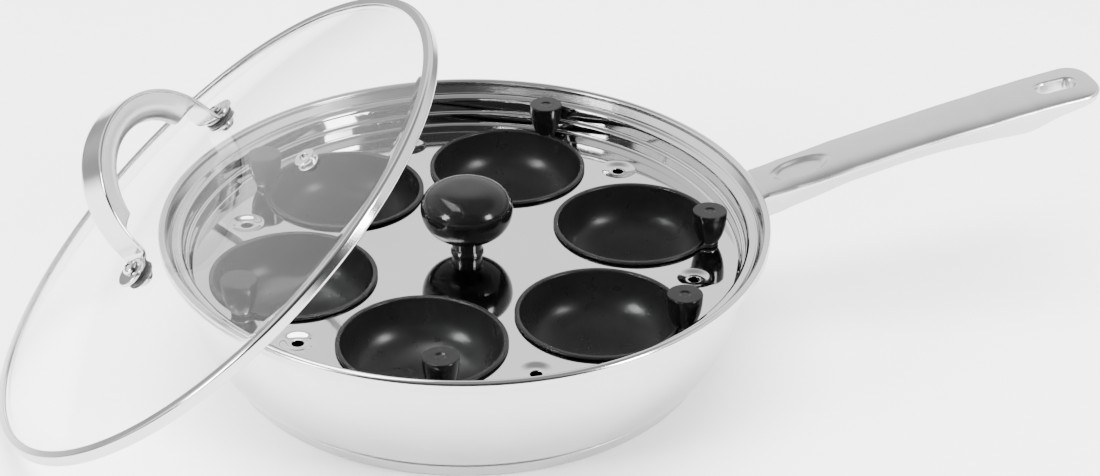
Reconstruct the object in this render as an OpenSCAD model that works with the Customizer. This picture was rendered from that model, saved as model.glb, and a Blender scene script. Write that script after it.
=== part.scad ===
// Egg poacher pan: a low stainless pan with a lift-out tray, six cups and a glass lid.
// Millimetres, +Z up. The origin is the centre of the base's underside, and +X runs along the handle.
// The lid stands on its edge beside the pan and leans over the rim.

/* [Pan] */
// Height of the pan from its base to the top of the lip
pan_h = 64; // [58:1:75]
// Inside radius of the pan's wall under the lid ledge
wall_r = 125.4; // [124:0.1:132]
// Thickness of the pan's sheet
wall_t = 0.9; // [0.7:0.1:1.4]
// Width of the ledge that carries the tray and the lid
ledge_w = 3.8; // [3.4:0.1:4.5]
// Depth of the ledge below the top of the lip
ledge_depth = 6.2; // [5.8:0.1:7]
// Width of the slope from the ledge up to the lip's bead
lip_slope_w = 2.2; // [1.8:0.1:3]
// Width of the lip's rounded bead
lip_w = 3.6; // [3:0.1:4]
// Height of the lip's outer face
lip_h = 4.6; // [4.2:0.1:4.8]
// Exponent of the wall's belly, higher is fuller
belly = 2.8; // [2:0.1:3.4]

/* [Base] */
// Radius of the base's underside
base_r = 109; // [105:0.5:112]
// Height of the layered base
base_h = 7.4; // [6:0.1:9]
// How far the base widens from its underside to its top
base_flare = 3.6; // [2:0.1:4]
// Thickness of the base cap's steel
cap_t = 0.6; // [0.5:0.1:1]
// Radius of the base cap's lower edge
cap_edge_r = 1.6; // [1:0.1:2.5]

/* [Pan handle] */
// Length of the handle from the wall to its tip
handle_len = 181.5; // [170:0.5:200]
// Length of the handle's rounded tip
tip_len = 12; // [10:0.5:16]
// Length of the hanging slot
slot_len = 19.5; // [14:0.5:24]
// Width of the hanging slot
slot_w = 8.6; // [6:0.2:10]
// Distance from the slot's middle to the handle's tip
slot_back = 19.7; // [18:0.1:26]
// Half length of the thumb recess
recess_a = 14.8; // [10:0.1:18]
// Half width of the thumb recess
recess_b = 7.7; // [5:0.1:9]
// Depth of the thumb recess
recess_depth = 1.8; // [0.5:0.1:2.4]
// Distance from the wall to the middle of the thumb recess
recess_out = 33.5; // [30:0.5:40]
// Thickness of the plate that welds the handle to the wall
bracket_t = 1.8; // [1.2:0.1:2.4]

/* [Tray] */
// Depth of the tray's plate below the top of the lip
tray_depth = 18.5; // [17:0.1:20]
// Thickness of the tray's sheet
tray_t = 0.8; // [0.6:0.1:1.2]
// Depth of the step in the tray's edge below the top of the lip
step_depth = 13; // [12:0.1:14]
// Width of the step in the tray's edge
step_w = 2; // [1.6:0.1:3]
// Radius of the bend from the tray's wall to its flange
tray_bend_r = 3; // [2:0.1:3.4]
// Radius of a steam hole
steam_r = 2.6; // [1.5:0.1:3.5]
// Radius of the dish pressed round each steam hole
dish_r = 9; // [5:0.1:10]
// Depth of the dish round each steam hole
dish_depth = 0.9; // [0.4:0.1:1.5]
// Radius of the circle that the steam holes lie on
steam_ring_r = 103; // [101:0.5:105]

/* [Tray knob] */
// Radius of the knob's cap
knob_r = 20.6; // [15:0.2:22]
// Height of the knob above the tray's plate
knob_h = 32.8; // [30:0.2:40]
// Radius of the knob's stem
knob_stem_r = 6.7; // [5:0.1:7]
// Radius of the knob's foot
knob_foot_r = 7.4; // [7:0.2:11]
// Radius of the screw in the knob
knob_screw_r = 2.5; // [2:0.1:3]

/* [Cups] */
// Number of cups
cup_count = 6; // [4:1:6]
// Radius of the circle that the cups lie on
cup_ring_r = 79; // [77:0.2:80]
// Outer radius of a cup's rolled rim
cup_r = 36.7; // [35:0.1:37.5]
// Radius of the roll round a cup's rim
cup_roll_r = 0.7; // [0.6:0.1:1.2]
// Depth of a cup below its rim
cup_depth = 24; // [18:0.5:28]
// Thickness of a cup's wall
cup_t = 0.8; // [0.6:0.1:1.2]
// Way each cup's knob is turned from straight outwards, in degrees
cup_turns = [-44, -17, 37, 41, 27, 26];

/* [Cup knobs] */
// Radius of a cup knob's top
cup_knob_r = 7.7; // [6:0.1:8.2]
// Radius of a cup knob at its foot
cup_knob_foot_r = 4.8; // [4:0.1:5.6]
// Height of a cup knob
cup_knob_h = 14.7; // [12:0.1:16]
// Height of the bright collar under a cup knob
stud_h = 1; // [0.8:0.1:2]
// Radius of the stud's shank
stud_r = 1.5; // [1.2:0.1:2]

/* [Lid] */
// Outer radius of the lid's steel band
lid_r = 126; // [125.6:0.1:127.4]
// Width of the band's turned-in edges
band_w = 4.5; // [4:0.1:6]
// Thickness of the band's steel
band_t = 0.8; // [0.6:0.1:1]
// Thickness of the glass
glass_t = 4; // [3:0.1:5]
// Height of the dome above the underside of the band
dome_h = 25; // [20:0.5:34]
// Angle between the lid and the table as it leans
lid_tilt = 40.2; // [38:0.1:42]
// Distance from the pan's middle to the lid's middle, in plan
lid_out = 113.2; // [113:0.2:122]
// Direction of the lid's middle from the pan's middle
lid_out_a = 183.4; // [178:0.2:186]
// Direction in which the leaning lid's top faces
lid_face_a = 169.2; // [168:0.2:176]

/* [Lid fittings] */
// Distance from the lid's middle to each handle screw
foot_out = 44.5; // [40:0.5:48]
// Direction of the lid's handle on the lid
lid_handle_a = 58; // [50:0.5:60]
// Height of the handle's arch above its feet
arch_h = 43; // [32:0.5:46]
// Width of the handle's strap
strap_w = 14; // [12:0.5:18]
// Thickness of the handle's strap at its feet
strap_t = 1.8; // [1.4:0.1:2.4]
// Depth of the hollow round side of the handle's strap
strap_depth = 12; // [8:0.5:14]
// Distance from the lid's middle to the steam vent
vent_out = 77.8; // [70:0.2:85]
// Direction of the steam vent, turned from the direction of the lid's handle
vent_turn = 88; // [80:1:100]
// Outer radius of the steam vent's eyelet
vent_r = 4.6; // [4:0.1:5.5]

/* [Fits] */
// Clearance between a moving piece and its seat
seat_gap = 0.3; // [0.2:0.05:0.4]
// Clearance between fixed pieces that pass through each other
fit_gap = 0.05; // [0.02:0.01:0.1]

/* [Hidden] */
$fn = 96;

steel = "gainsboro";
bright_steel = "whitesmoke";
black_plastic = "dimgray";

// Length by which a cutting solid reaches past the faces that it cuts
over = 1;

// Pan heights and radii
ledge_z = pan_h - ledge_depth;
ledge_r = wall_r + ledge_w;
lip_in_r = ledge_r + lip_slope_w;
lip_r = lip_in_r + lip_w;
ledge_bend_r = tray_bend_r - tray_t - seat_gap;
neck_r = wall_r + wall_t;
neck_z = ledge_z - ledge_bend_r - 0.1;
base_top_r = base_r + base_flare;
shoulder_r = base_top_r + 0.6;

// Tray heights and radii
tray_z = pan_h - tray_depth;
step_z = pan_h - step_depth;
tray_r = wall_r - seat_gap;
flange_z = ledge_z + seat_gap;
flange_r = ledge_r - seat_gap - 0.3;
plate_r = tray_r - tray_t - step_w - 1.2;

// Cup heights and radii
roll_z = tray_z + seat_gap + cup_roll_r;
roll_top = roll_z + cup_roll_r;
cup_body_r = cup_r - 2 * cup_roll_r - 0.1;
cup_mouth_r = cup_body_r - cup_t;
opening_r = cup_body_r + 0.6;
tab_t = 1.4;
tab_z = roll_top - tab_t;
cup_knob_out = cup_r + 0.4;
tab_end_r = 4.4;
tab_fillet_r = 6;
stud_collar_r = 4.1;
collar_round = 0.3;

// Lid: the dome is part of a sphere, and the lowest point of the band touches the table
band_h = glass_t + 2 * band_t;
band_edge_r = 1.4;
glass_edge_z = band_t + glass_t;
dome_r = lid_r - band_w - 0.2;
dome_rise = dome_h - glass_edge_z;
dome_sphere_r = (dome_r * dome_r + dome_rise * dome_rise) / (2 * dome_rise);
lid_z = (lid_r - band_edge_r) * sin(lid_tilt) - band_edge_r * cos(lid_tilt) + band_edge_r;

// Stack of the lid handle's fastening, measured from the glass's outer face
seal_r = 6.6;
seal_t = 0.8;
washer_t = 0.8;
pad_z = seal_t + washer_t;
pad_r = 7;
pad_out = 1.6;
lid_screw_r = 2;
head_r = 3.6;
head_h = 2.2;
nut_r = 4.4;
nut_h = 3.2;
vent_tube_r = vent_r - 1.6;

// A point on a circle's arc, and the arc's points from one angle to another
function arc(c, r, a0, a1, n) = [for (i = [0:n]) let (a = a0 + (a1 - a0) * i / n) c + r * [cos(a), sin(a)]];

// A smooth curve through the rows of a table, u counts rows
function spline(p0, p1, p2, p3, t) = 0.5 * (2 * p1 + (p2 - p0) * t
    + (2 * p0 - 5 * p1 + 4 * p2 - p3) * t * t + (3 * p1 - p0 - 3 * p2 + p3) * t * t * t);
function along(rows, u) = let (last = len(rows) - 1, i = min(floor(u), last - 1))
    spline(rows[max(i - 1, 0)], rows[i], rows[i + 1], rows[min(i + 2, last)], u - i);

// Outer radius of the pan's wall at a height, and the same point moved inwards by t
function wall_out(z) = shoulder_r + (neck_r - shoulder_r)
    * (1 - pow(max(0, 1 - (z - base_h) / (neck_z - base_h)), belly));
function wall_slope(z) = wall_out(z + 0.05) * 10 - wall_out(z - 0.05) * 10;
function wall_point(z, t) = let (s = wall_slope(z), m = sqrt(1 + s * s)) [wall_out(z) - t / m, z + t * s / m];

// Wall heights from the corner above the base to the neck
wall_steps = 18;
corner_h = 2.6;
corner_run = 4;
wall_low = base_h + corner_h;
function wall_zs(i) = wall_low + (neck_z - 0.1 - wall_low) * i / wall_steps;

// The corner between the flat bottom and the wall: a curve that touches both, moved inwards by t
corner_steps = 6;
corner_top = wall_point(wall_low, 0);
corner_tip = [corner_top[0] - wall_slope(wall_low) * corner_h, base_h];
corner_foot = corner_tip - [corner_run, 0];
function corner_point(u, t) = let (
        p = pow(1 - u, 2) * corner_foot + 2 * u * (1 - u) * corner_tip + u * u * corner_top,
        d = (1 - u) * (corner_tip - corner_foot) + u * (corner_top - corner_tip))
    p + t * [-d[1], d[0]] / norm(d);

module pan_body() {
    outer = [for (i = [0:wall_steps]) wall_point(wall_zs(i), 0)];
    inner = [for (i = [wall_steps:-1:0]) wall_point(wall_zs(i), wall_t)];
    roll = lip_w / 2;
    lip_last_a = 215;
    color(steel) rotate_extrude($fn = 180) polygon(concat(
        [[0, base_h]],
        [for (i = [0:corner_steps - 1]) corner_point(i / corner_steps, 0)],
        outer,
        [[neck_r + 0.5, neck_z + 0.8], [ledge_r + 0.4, ledge_z - wall_t], [lip_in_r + 0.3, pan_h - lip_h]],
        arc([lip_r - 1, pan_h - lip_h + 1], 1, -90, 0, 4),
        arc([lip_r - roll, pan_h - roll], roll, 0, lip_last_a, 14),
        [[ledge_r + 0.7, ledge_z + 0.6], [ledge_r, ledge_z]],
        arc([wall_r + ledge_bend_r, ledge_z - ledge_bend_r], ledge_bend_r, 90, 180, 6),
        inner,
        [for (i = [corner_steps - 1:-1:0]) corner_point(i / corner_steps, wall_t)],
        [[0, base_h + wall_t]]));
}

// Radius of the base's outer face at a height
function base_out(z) = base_r + base_flare * z / base_h;

module base_core() {
    color("silver") rotate_extrude($fn = 180) polygon([
        [0, cap_t], [base_out(cap_t) - cap_edge_r, cap_t],
        [base_out(cap_edge_r) - cap_t, cap_edge_r + cap_t], [base_top_r - cap_t, base_h], [0, base_h]]);
}

module base_cap() {
    color(bright_steel) rotate_extrude($fn = 180) polygon(concat(
        [[0, 0]],
        arc([base_r - cap_edge_r, cap_edge_r], cap_edge_r, -90, -20, 5),
        [[base_top_r, base_h - 0.2], [base_top_r - cap_t, base_h - 0.2],
        [base_out(cap_edge_r) - cap_t, cap_edge_r + cap_t],
        [base_out(cap_t) - cap_edge_r, cap_t], [0, cap_t]]));
}

// Handle rows: distance from the wall as a share of the length, edge height above the lip,
// half width, depth of the side and rise of the crowned top
handle_rows = [
    [0.004, -7.6, 12.2, 12.5, 0.1],
    [0.044, -7.5, 12.5, 13.5, 0.2],
    [0.074, -5.7, 13.0, 14.5, 0.5],
    [0.150, -3.1, 13.8, 12.4, 1.1],
    [0.300, 2.6, 14.4, 9.1, 1.3],
    [0.507, 9.7, 14.6, 8.6, 1.3],
    [0.680, 15.1, 15.2, 11.0, 1.2],
    [0.800, 18.8, 15.5, 13.5, 1.2],
    [0.880, 21.0, 15.8, 8.8, 1.2],
    [1.000, 23.6, 16.2, 5.0, 0.8]];
handle_steps = 72;
tip_steps = 10;
tip_last_a = 86;
tip_power = 0.66;
edge_round = 1.6;
crown_power = 4;
crown_steps = 9;
side_lean = 0.018;
slot_tilt = 8;

// One row of the handle at the share f of its length
function row_at(f, i = 0) = f <= handle_rows[i + 1][0] || i == len(handle_rows) - 2
    ? along(handle_rows, i + (f - handle_rows[i][0]) / (handle_rows[i + 1][0] - handle_rows[i][0]))
    : row_at(f, i + 1);

// Depth of the thumb recess at a place on the handle's top
function recess_at(x, y) = let (q = pow((x - recess_out) / recess_a, 2) + pow(y / recess_b, 2))
    q >= 1 ? 0 : recess_depth * min(1, 2.4 * (1 - q));

// A closed section of the handle, x from the wall, k the width's share left at the tip
function handle_section(x, k) = let (
        row = row_at(x / handle_len),
        w = row[2] * k,
        top = pan_h + row[1],
        crown = row[4] * k,
        depth = row[3],
        low_w = w * (1 - side_lean * depth),
        r = edge_round * k)
    concat(
        [for (j = [-crown_steps:crown_steps]) let (y = j / crown_steps * (w - r))
            [neck_r + x, y, top + crown * (1 - pow(abs(y) / w, crown_power)) - recess_at(x, y)]],
        [[neck_r + x, w - 0.25 * r, top - 0.4 * r], [neck_r + x, w, top - 1.3 * r],
        [neck_r + x, low_w, top - 0.78 * depth], [neck_r + x, low_w - 0.9 * k, top - 0.93 * depth],
        [neck_r + x, low_w - 3 * k, top - depth], [neck_r + x, 3 * k - low_w, top - depth],
        [neck_r + x, 0.9 * k - low_w, top - 0.93 * depth], [neck_r + x, -low_w, top - 0.78 * depth],
        [neck_r + x, -w, top - 1.3 * r], [neck_r + x, 0.25 * r - w, top - 0.4 * r]]);

// A closed tube through equal rings of points, capped with flat ends
module loft(rings) {
    n = len(rings[0]);
    m = len(rings);
    sides = [for (i = [0:m - 2]) for (j = [0:n - 1]) each [
        [i * n + j, i * n + (j + 1) % n, (i + 1) * n + j],
        [i * n + (j + 1) % n, (i + 1) * n + (j + 1) % n, (i + 1) * n + j]]];
    polyhedron([for (ring = rings) each ring],
        concat([[for (j = [n - 1:-1:0]) j]], sides, [[for (j = [0:n - 1]) (m - 1) * n + j]]));
}

// Solid that follows the wall's outside, grown by t
module wall_blank(t) {
    rotate_extrude($fn = 180) polygon(concat([[0, base_h]],
        [for (i = [0:wall_steps]) [wall_point(wall_zs(i), 0)[0] + t, wall_zs(i)]],
        [[neck_r + t, neck_z], [neck_r + t, pan_h], [0, pan_h]]));
}

module pan_handle() {
    start = handle_rows[0][0] * handle_len;
    tip_start = handle_len - tip_len;
    body = [for (i = [0:handle_steps]) handle_section(start + (tip_start - start) * i / handle_steps, 1)];
    tip = [for (i = [1:tip_steps]) let (a = tip_last_a * i / tip_steps)
        handle_section(tip_start + tip_len * sin(a), pow(cos(a), tip_power))];
    slot_x = neck_r + handle_len - slot_back;
    reach = slot_len / 2 - slot_w / 2;
    cut_h = 60;
    color(steel) difference() {
        loft(concat(body, tip));
        wall_blank(bracket_t + 2 * fit_gap);
        translate([slot_x, 0, pan_h + 20]) rotate([0, -slot_tilt, 0]) translate([0, 0, -cut_h / 2]) {
            for (side = [-1, 1]) translate([side * reach, 0, 0])
                cylinder(r = slot_w / 2, h = cut_h, $fn = 48);
            translate([-reach, -slot_w / 2, 0]) cube([2 * reach, slot_w, cut_h]);
        }
    }
}

module handle_bracket() {
    plate_w = 26;
    plate_h = 11;
    plate_deep = 20;
    color(bright_steel) intersection() {
        difference() {
            wall_blank(bracket_t + fit_gap);
            wall_blank(fit_gap);
        }
        translate([neck_r - plate_deep / 2, -plate_w / 2, neck_z - plate_h - 0.4])
            cube([plate_deep, plate_w, plate_h]);
    }
}

// Place children at cup i's middle, or at steam hole i
module at_cup(i) rotate([0, 0, i * 360 / cup_count]) translate([cup_ring_r, 0, 0]) children();
module at_steam_hole(i) rotate([0, 0, (i + 0.5) * 360 / cup_count]) translate([steam_ring_r, 0, 0]) children();

module egg_tray() {
    in_r = tray_r - tray_t;
    bend = [in_r + tray_bend_r, flange_z + tray_t - tray_bend_r];
    dish_low_r = steam_r + 0.8;
    dish_z = tray_z - dish_depth;
    low = tray_z - tray_t - dish_depth - over;
    cut_h = tray_z + over - low;
    color(bright_steel) difference() {
        union() {
            rotate_extrude($fn = 180) polygon([
                [0, tray_z - tray_t], [plate_r - 1, tray_z - tray_t], [plate_r + 0.6, tray_z - 0.1],
                [plate_r + 1.3, tray_z + 1.2], [plate_r + 1.8, step_z - 1.2], [plate_r + 2.3, step_z - tray_t],
                [tray_r - 1.2, step_z - tray_t], [tray_r - 0.3, step_z - 0.2], [tray_r, step_z + 1],
                each arc(bend, tray_bend_r - tray_t, 180, 90, 6), [flange_r, flange_z],
                [flange_r, flange_z + tray_t], each arc(bend, tray_bend_r, 90, 180, 8),
                [in_r, step_z + 1.4], [in_r - 0.4, step_z + 0.4], [in_r - 1.3, step_z],
                [plate_r + 1.6, step_z], [plate_r + 0.9, step_z - 0.6], [plate_r + 0.5, tray_z + 1.6],
                [plate_r - 0.2, tray_z + 0.5], [plate_r - 1.3, tray_z], [0, tray_z]]);
            for (i = [0:cup_count - 1]) at_steam_hole(i) rotate_extrude($fn = 48) polygon([
                [0, dish_z - tray_t], [dish_low_r, dish_z - tray_t], [dish_r, tray_z - tray_t],
                [dish_r, tray_z - tray_t / 2], [0, tray_z - tray_t / 2]]);
        }
        for (i = [0:cup_count - 1]) {
            at_cup(i) translate([0, 0, low]) cylinder(r = opening_r, h = cut_h, $fn = 96);
            at_steam_hole(i) translate([0, 0, low]) cylinder(r = steam_r, h = cut_h, $fn = 32);
            at_steam_hole(i) rotate_extrude($fn = 48) polygon([
                [0, dish_z], [dish_low_r, dish_z], [dish_r, tray_z],
                [dish_r, tray_z + over], [0, tray_z + over]]);
        }
        translate([0, 0, low]) cylinder(r = knob_screw_r + fit_gap, h = cut_h, $fn = 32);
    }
}

// Knob outline from the stem up over the cap: full below the widest place, flat-domed above it
cap_high = 10.5;
cap_low = 15;
cap_steps = 12;
cap_last_a = 77;
function knob_side() = let (wide_z = knob_h - cap_high)
    concat(
        [[knob_foot_r, 0], [knob_foot_r, 0.6], [knob_stem_r, 1.8]],
        [for (i = [cap_steps:-1:1]) let (a = cap_last_a * i / cap_steps)
            [knob_r * pow(cos(a), 0.7), wide_z - cap_low * sin(a)]],
        [for (i = [0:cap_steps - 1]) let (a = 90 * i / cap_steps)
            [knob_r * pow(cos(a), 0.55), wide_z + cap_high * pow(sin(a), 1.1)]]);

module tray_knob() {
    bore_h = 16;
    color(black_plastic) difference() {
        translate([0, 0, tray_z]) rotate_extrude() polygon(concat([[0, 0]], knob_side(), [[0, knob_h]]));
        translate([0, 0, tray_z - over]) cylinder(r = knob_screw_r + fit_gap, h = bore_h + over, $fn = 32);
    }
}

// The washer lies under the tray's plate, on the head of the knob's screw
knob_washer_t = 0.8;
knob_washer_r = 7;
knob_washer_z = tray_z - tray_t - knob_washer_t;

module tray_knob_screw() {
    screw_head_h = 2.4;
    screw_head_r = 5;
    thread_h = 14;
    slit_len = 6;
    slit_w = 1;
    slit_h = 1.2;
    head_low = knob_washer_z - screw_head_h;
    shank_low = head_low + screw_head_h / 2;
    color(bright_steel) difference() {
        union() {
            translate([0, 0, head_low]) cylinder(r = screw_head_r, h = screw_head_h, $fn = 48);
            translate([0, 0, shank_low])
                cylinder(r = knob_screw_r, h = tray_z + thread_h - shank_low, $fn = 32);
        }
        for (a = [0, 90]) rotate([0, 0, a]) translate([-slit_len / 2, -slit_w / 2, head_low - over])
            cube([slit_len, slit_w, slit_h + over]);
    }
}

module tray_knob_washer() {
    cut_h = knob_washer_t + 2 * over;
    color(bright_steel) translate([0, 0, knob_washer_z]) difference() {
        cylinder(r = knob_washer_r, h = knob_washer_t, $fn = 64);
        translate([0, 0, -over]) cylinder(r = knob_screw_r + fit_gap, h = cut_h, $fn = 32);
    }
}

// A cup's bowl: a superellipse from its flat bottom up to the mouth, as n steps of bowl_steps
bowl_steps = 14;
function bowl(r, depth, n) = [for (i = [0:n]) let (u = 0.015 + 0.985 * i / bowl_steps)
    [r * pow(1 - pow(1 - u, 3), 0.25), roll_z - depth + depth * i / bowl_steps]];

// The tab under a cup's knob: a round ear whose sides flow into the rim through fillets that touch both
tab_steps = 8;
tab_rim_r = cup_r - 0.4;
tab_crest_r = cup_r - cup_roll_r;
function tab_outline() = let (
        a = tab_rim_r + tab_fillet_r,
        b = tab_end_r + tab_fillet_r,
        x = (cup_knob_out * cup_knob_out + a * a - b * b) / (2 * cup_knob_out),
        c = [x, sqrt(a * a - x * x)],
        rim_a = atan2(c[1], c[0]),
        ear_a = atan2(c[1], c[0] - cup_knob_out),
        side = arc(c, tab_fillet_r, rim_a + 180, ear_a + 180, tab_steps))
    concat(
        arc([0, 0], tab_crest_r, -rim_a, rim_a, tab_steps),
        side,
        arc([cup_knob_out, 0], tab_end_r, ear_a, -ear_a, 3 * tab_steps),
        [for (k = [tab_steps:-1:0]) [side[k][0], -side[k][1]]]);

module egg_cup(i) {
    mouth_top = roll_top + over;
    color("dimgray") at_cup(i) difference() {
        union() {
            rotate_extrude() polygon(concat([[0, roll_z - cup_depth]],
                bowl(cup_body_r, cup_depth, bowl_steps - 1),
                arc([cup_r - cup_roll_r, roll_z], cup_roll_r, 200, 510, 20), [[0, roll_z]]));
            rotate([0, 0, cup_turns[i]]) translate([0, 0, tab_z]) linear_extrude(tab_t) polygon(tab_outline());
        }
        rotate_extrude() polygon(concat([[0, roll_z - cup_depth + cup_t]],
            bowl(cup_mouth_r, cup_depth - cup_t, bowl_steps), [[cup_mouth_r, mouth_top], [0, mouth_top]]));
        rotate([0, 0, cup_turns[i]]) translate([cup_knob_out, 0, tab_z - over])
            cylinder(r = stud_r + fit_gap, h = tab_t + 2 * over, $fn = 24);
    }
}

// Place children at cup i's knob, on top of the cup's tab
module at_cup_knob(i) at_cup(i) rotate([0, 0, cup_turns[i]])
    translate([cup_knob_out, 0, tab_z + tab_t]) children();

module cup_knob(i) {
    bore_h = 8;
    bulge = 2.4;
    dimple_r = 2.4;
    dimple = 0.4;
    color(black_plastic) at_cup_knob(i) difference() {
        translate([0, 0, stud_h]) rotate_extrude($fn = 64) polygon(concat(
            [[0, 0]],
            [for (j = [0:8]) let (u = j / 8)
                [cup_knob_foot_r + (cup_knob_r - cup_knob_foot_r) * (1 - pow(1 - u, bulge)),
                (cup_knob_h - 1) * u]],
            [[cup_knob_r - 0.2, cup_knob_h - 0.4], [cup_knob_r - 0.8, cup_knob_h]],
            [[dimple_r, cup_knob_h], [dimple_r - 0.8, cup_knob_h - dimple], [0, cup_knob_h - dimple]]));
        translate([0, 0, stud_h - over]) cylinder(r = stud_r + fit_gap, h = bore_h + over, $fn = 24);
    }
}

module cup_stud(i) {
    thread_h = 7;
    color(bright_steel) at_cup_knob(i) union() {
        rotate_extrude($fn = 48) polygon([
            [0, 0], [stud_collar_r - collar_round, 0], [stud_collar_r, collar_round],
            [stud_collar_r, stud_h - collar_round], [stud_collar_r - collar_round, stud_h], [0, stud_h]]);
        translate([0, 0, -tab_t]) cylinder(r = stud_r, h = tab_t + stud_h + thread_h, $fn = 24);
    }
}

// Place children in the lid's own frame: the middle of the band's underside, Z along the lid's axis
module in_lid() translate([lid_out * cos(lid_out_a), lid_out * sin(lid_out_a), lid_z])
    rotate([0, 0, lid_face_a]) rotate([0, lid_tilt, 0]) children();

// Place children on the dome's outer face, out from the lid's axis in direction a
module on_dome(out, a) rotate([0, 0, a]) translate([0, 0, dome_h - dome_sphere_r])
    rotate([0, asin(out / dome_sphere_r), 0]) translate([0, 0, dome_sphere_r]) children();
module at_foot(side) on_dome(foot_out, lid_handle_a + (side > 0 ? 0 : 180)) children();
module at_vent() on_dome(vent_out, lid_handle_a + vent_turn) children();

// Points along the dome's outer face, or its inner face with t as the glass's thickness
dome_steps = 24;
function dome_line(t, out) = [for (i = [0:dome_steps])
    let (a = asin(out / (dome_sphere_r - t)) * i / dome_steps)
    [(dome_sphere_r - t) * sin(a), dome_h - dome_sphere_r + (dome_sphere_r - t) * cos(a)]];
function inner_edge() = sqrt(pow(dome_sphere_r - glass_t, 2) - pow(band_t - dome_h + dome_sphere_r, 2));

module lid_glass() {
    rim_r = lid_r - band_t - fit_gap;
    under = dome_line(glass_t, inner_edge());
    cut_h = 20;
    color("lightblue", 0.35) in_lid() difference() {
        rotate_extrude($fn = 180) polygon(concat(
            dome_line(0, dome_r), [[rim_r, glass_edge_z], [rim_r, band_t]],
            [for (i = [dome_steps:-1:0]) under[i]]));
        for (side = [-1, 1]) at_foot(side) translate([0, 0, -cut_h / 2])
            cylinder(r = lid_screw_r + fit_gap, h = cut_h, $fn = 32);
        at_vent() translate([0, 0, -cut_h / 2]) cylinder(r = vent_tube_r + fit_gap, h = cut_h, $fn = 32);
    }
}

module lid_band() {
    in_r = lid_r - band_w;
    c = lid_r - band_edge_r;
    color(steel) in_lid() rotate_extrude($fn = 180) polygon(concat(
        [[in_r, 0]], arc([c, band_edge_r], band_edge_r, -90, 0, 6),
        arc([c, band_h - band_edge_r], band_edge_r, 0, 90, 6),
        [[in_r, band_h], [in_r, glass_edge_z], [lid_r - band_t, glass_edge_z],
        [lid_r - band_t, band_t], [in_r, band_t]]));
}

module lid_vent() {
    flange_t = 0.9;
    tube_t = 1.3;
    low = -glass_t - flange_t - 0.1;
    color(bright_steel) in_lid() at_vent() difference() {
        union() {
            cylinder(r1 = vent_r, r2 = vent_r - 0.5, h = flange_t, $fn = 48);
            translate([0, 0, low]) cylinder(r = vent_tube_r, h = flange_t / 2 - low, $fn = 48);
            translate([0, 0, low]) cylinder(r1 = vent_r - 0.5, r2 = vent_r, h = flange_t, $fn = 48);
        }
        translate([0, 0, low - over])
            cylinder(r = vent_tube_r - tube_t, h = flange_t - low + 2 * over, $fn = 32);
    }
}

// Handle arch in its own plane: distance along the lid and height above the band's underside
foot_a = asin(foot_out / dome_sphere_r);
pad_s = (dome_sphere_r + pad_z + strap_t) * sin(foot_a);
pad_top = dome_h - dome_sphere_r + (dome_sphere_r + pad_z + strap_t) * cos(foot_a);
leg_h = 3.4;
arch_s = pad_s - 5.6;
function arch_point(a) = [arch_s * cos(a), pad_top + leg_h + (arch_h - leg_h) * sin(a)];
function arch_normal(a) = let (v = [cos(a) / arch_s, sin(a) / (arch_h - leg_h)]) v / norm(v);

// Depth of the strap's round side at the arch's angle a: both of its ends are cut on a slant
round_a = 14;
slant_a = 9;
function round_depth(a) = strap_depth * min(1, 0.35 + (min(a, 180 - a) - round_a) / slant_a);

// One ring of the strap's round side at the arch's angle a: flat outer face, rounded inner side
function strap_ring(a, w, d) = let (p = arch_point(a), n = arch_normal(a))
    [for (q = concat([[w, 0], [-w, 0]],
        [for (b = [180:-15:0]) [w * cos(b), -0.3 * d - 0.7 * d * sin(b)]]))
        [p[0] + n[0] * q[1], q[0], p[1] + n[1] * q[1]]];

// The flat strap's line along the tilted pad and up to the arch, and its rings, a little inside
// the round side
strip_inset = 0.2;
pad_rise = tan(foot_a);
function pad_point(back, up) = [pad_s - back, pad_top + back * pad_rise + up];
foot_line = concat([pad_point(1, 0), pad_point(3.8, 0), pad_point(pad_s - arch_s - 0.6, 0.7)],
    [for (a = [0:4:24]) arch_point(a)]);
function strip_ring(i, w) = let (last = len(foot_line) - 1,
        v = foot_line[min(i + 1, last)] - foot_line[max(i - 1, 0)], n = [v[1], -v[0]] / norm(v))
    [for (q = [[w, -strip_inset], [-w, -strip_inset], [-w, strip_inset - strap_t], [w, strip_inset - strap_t]])
        [foot_line[i][0] + n[0] * q[1], q[0], foot_line[i][1] + n[1] * q[1]]];

module lid_handle() {
    arch_steps = 48;
    foot_w = 5.6;
    cut_h = pad_z + strap_t + 2 * over;
    strip_last = len(foot_line) - 1;
    color(steel) in_lid() rotate([0, 0, lid_handle_a]) difference() {
        union() {
            loft([for (i = [0:arch_steps]) let (a = round_a + (180 - 2 * round_a) * i / arch_steps)
                strap_ring(a, strap_w / 2, round_depth(a))]);
            for (turn = [0, 180]) rotate([0, 0, turn])
                loft([for (i = [0:strip_last])
                    strip_ring(i, foot_w + (strap_w / 2 - strip_inset - foot_w) * i / strip_last)]);
            for (turn = [0, 180]) rotate([0, 0, turn - lid_handle_a]) at_foot(1)
                translate([pad_out, 0, pad_z]) cylinder(r = pad_r, h = strap_t, $fn = 48);
        }
        for (turn = [0, 180]) rotate([0, 0, turn - lid_handle_a]) at_foot(1)
            translate([0, 0, -over]) cylinder(r = lid_screw_r + fit_gap, h = cut_h, $fn = 32);
    }
}

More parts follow.
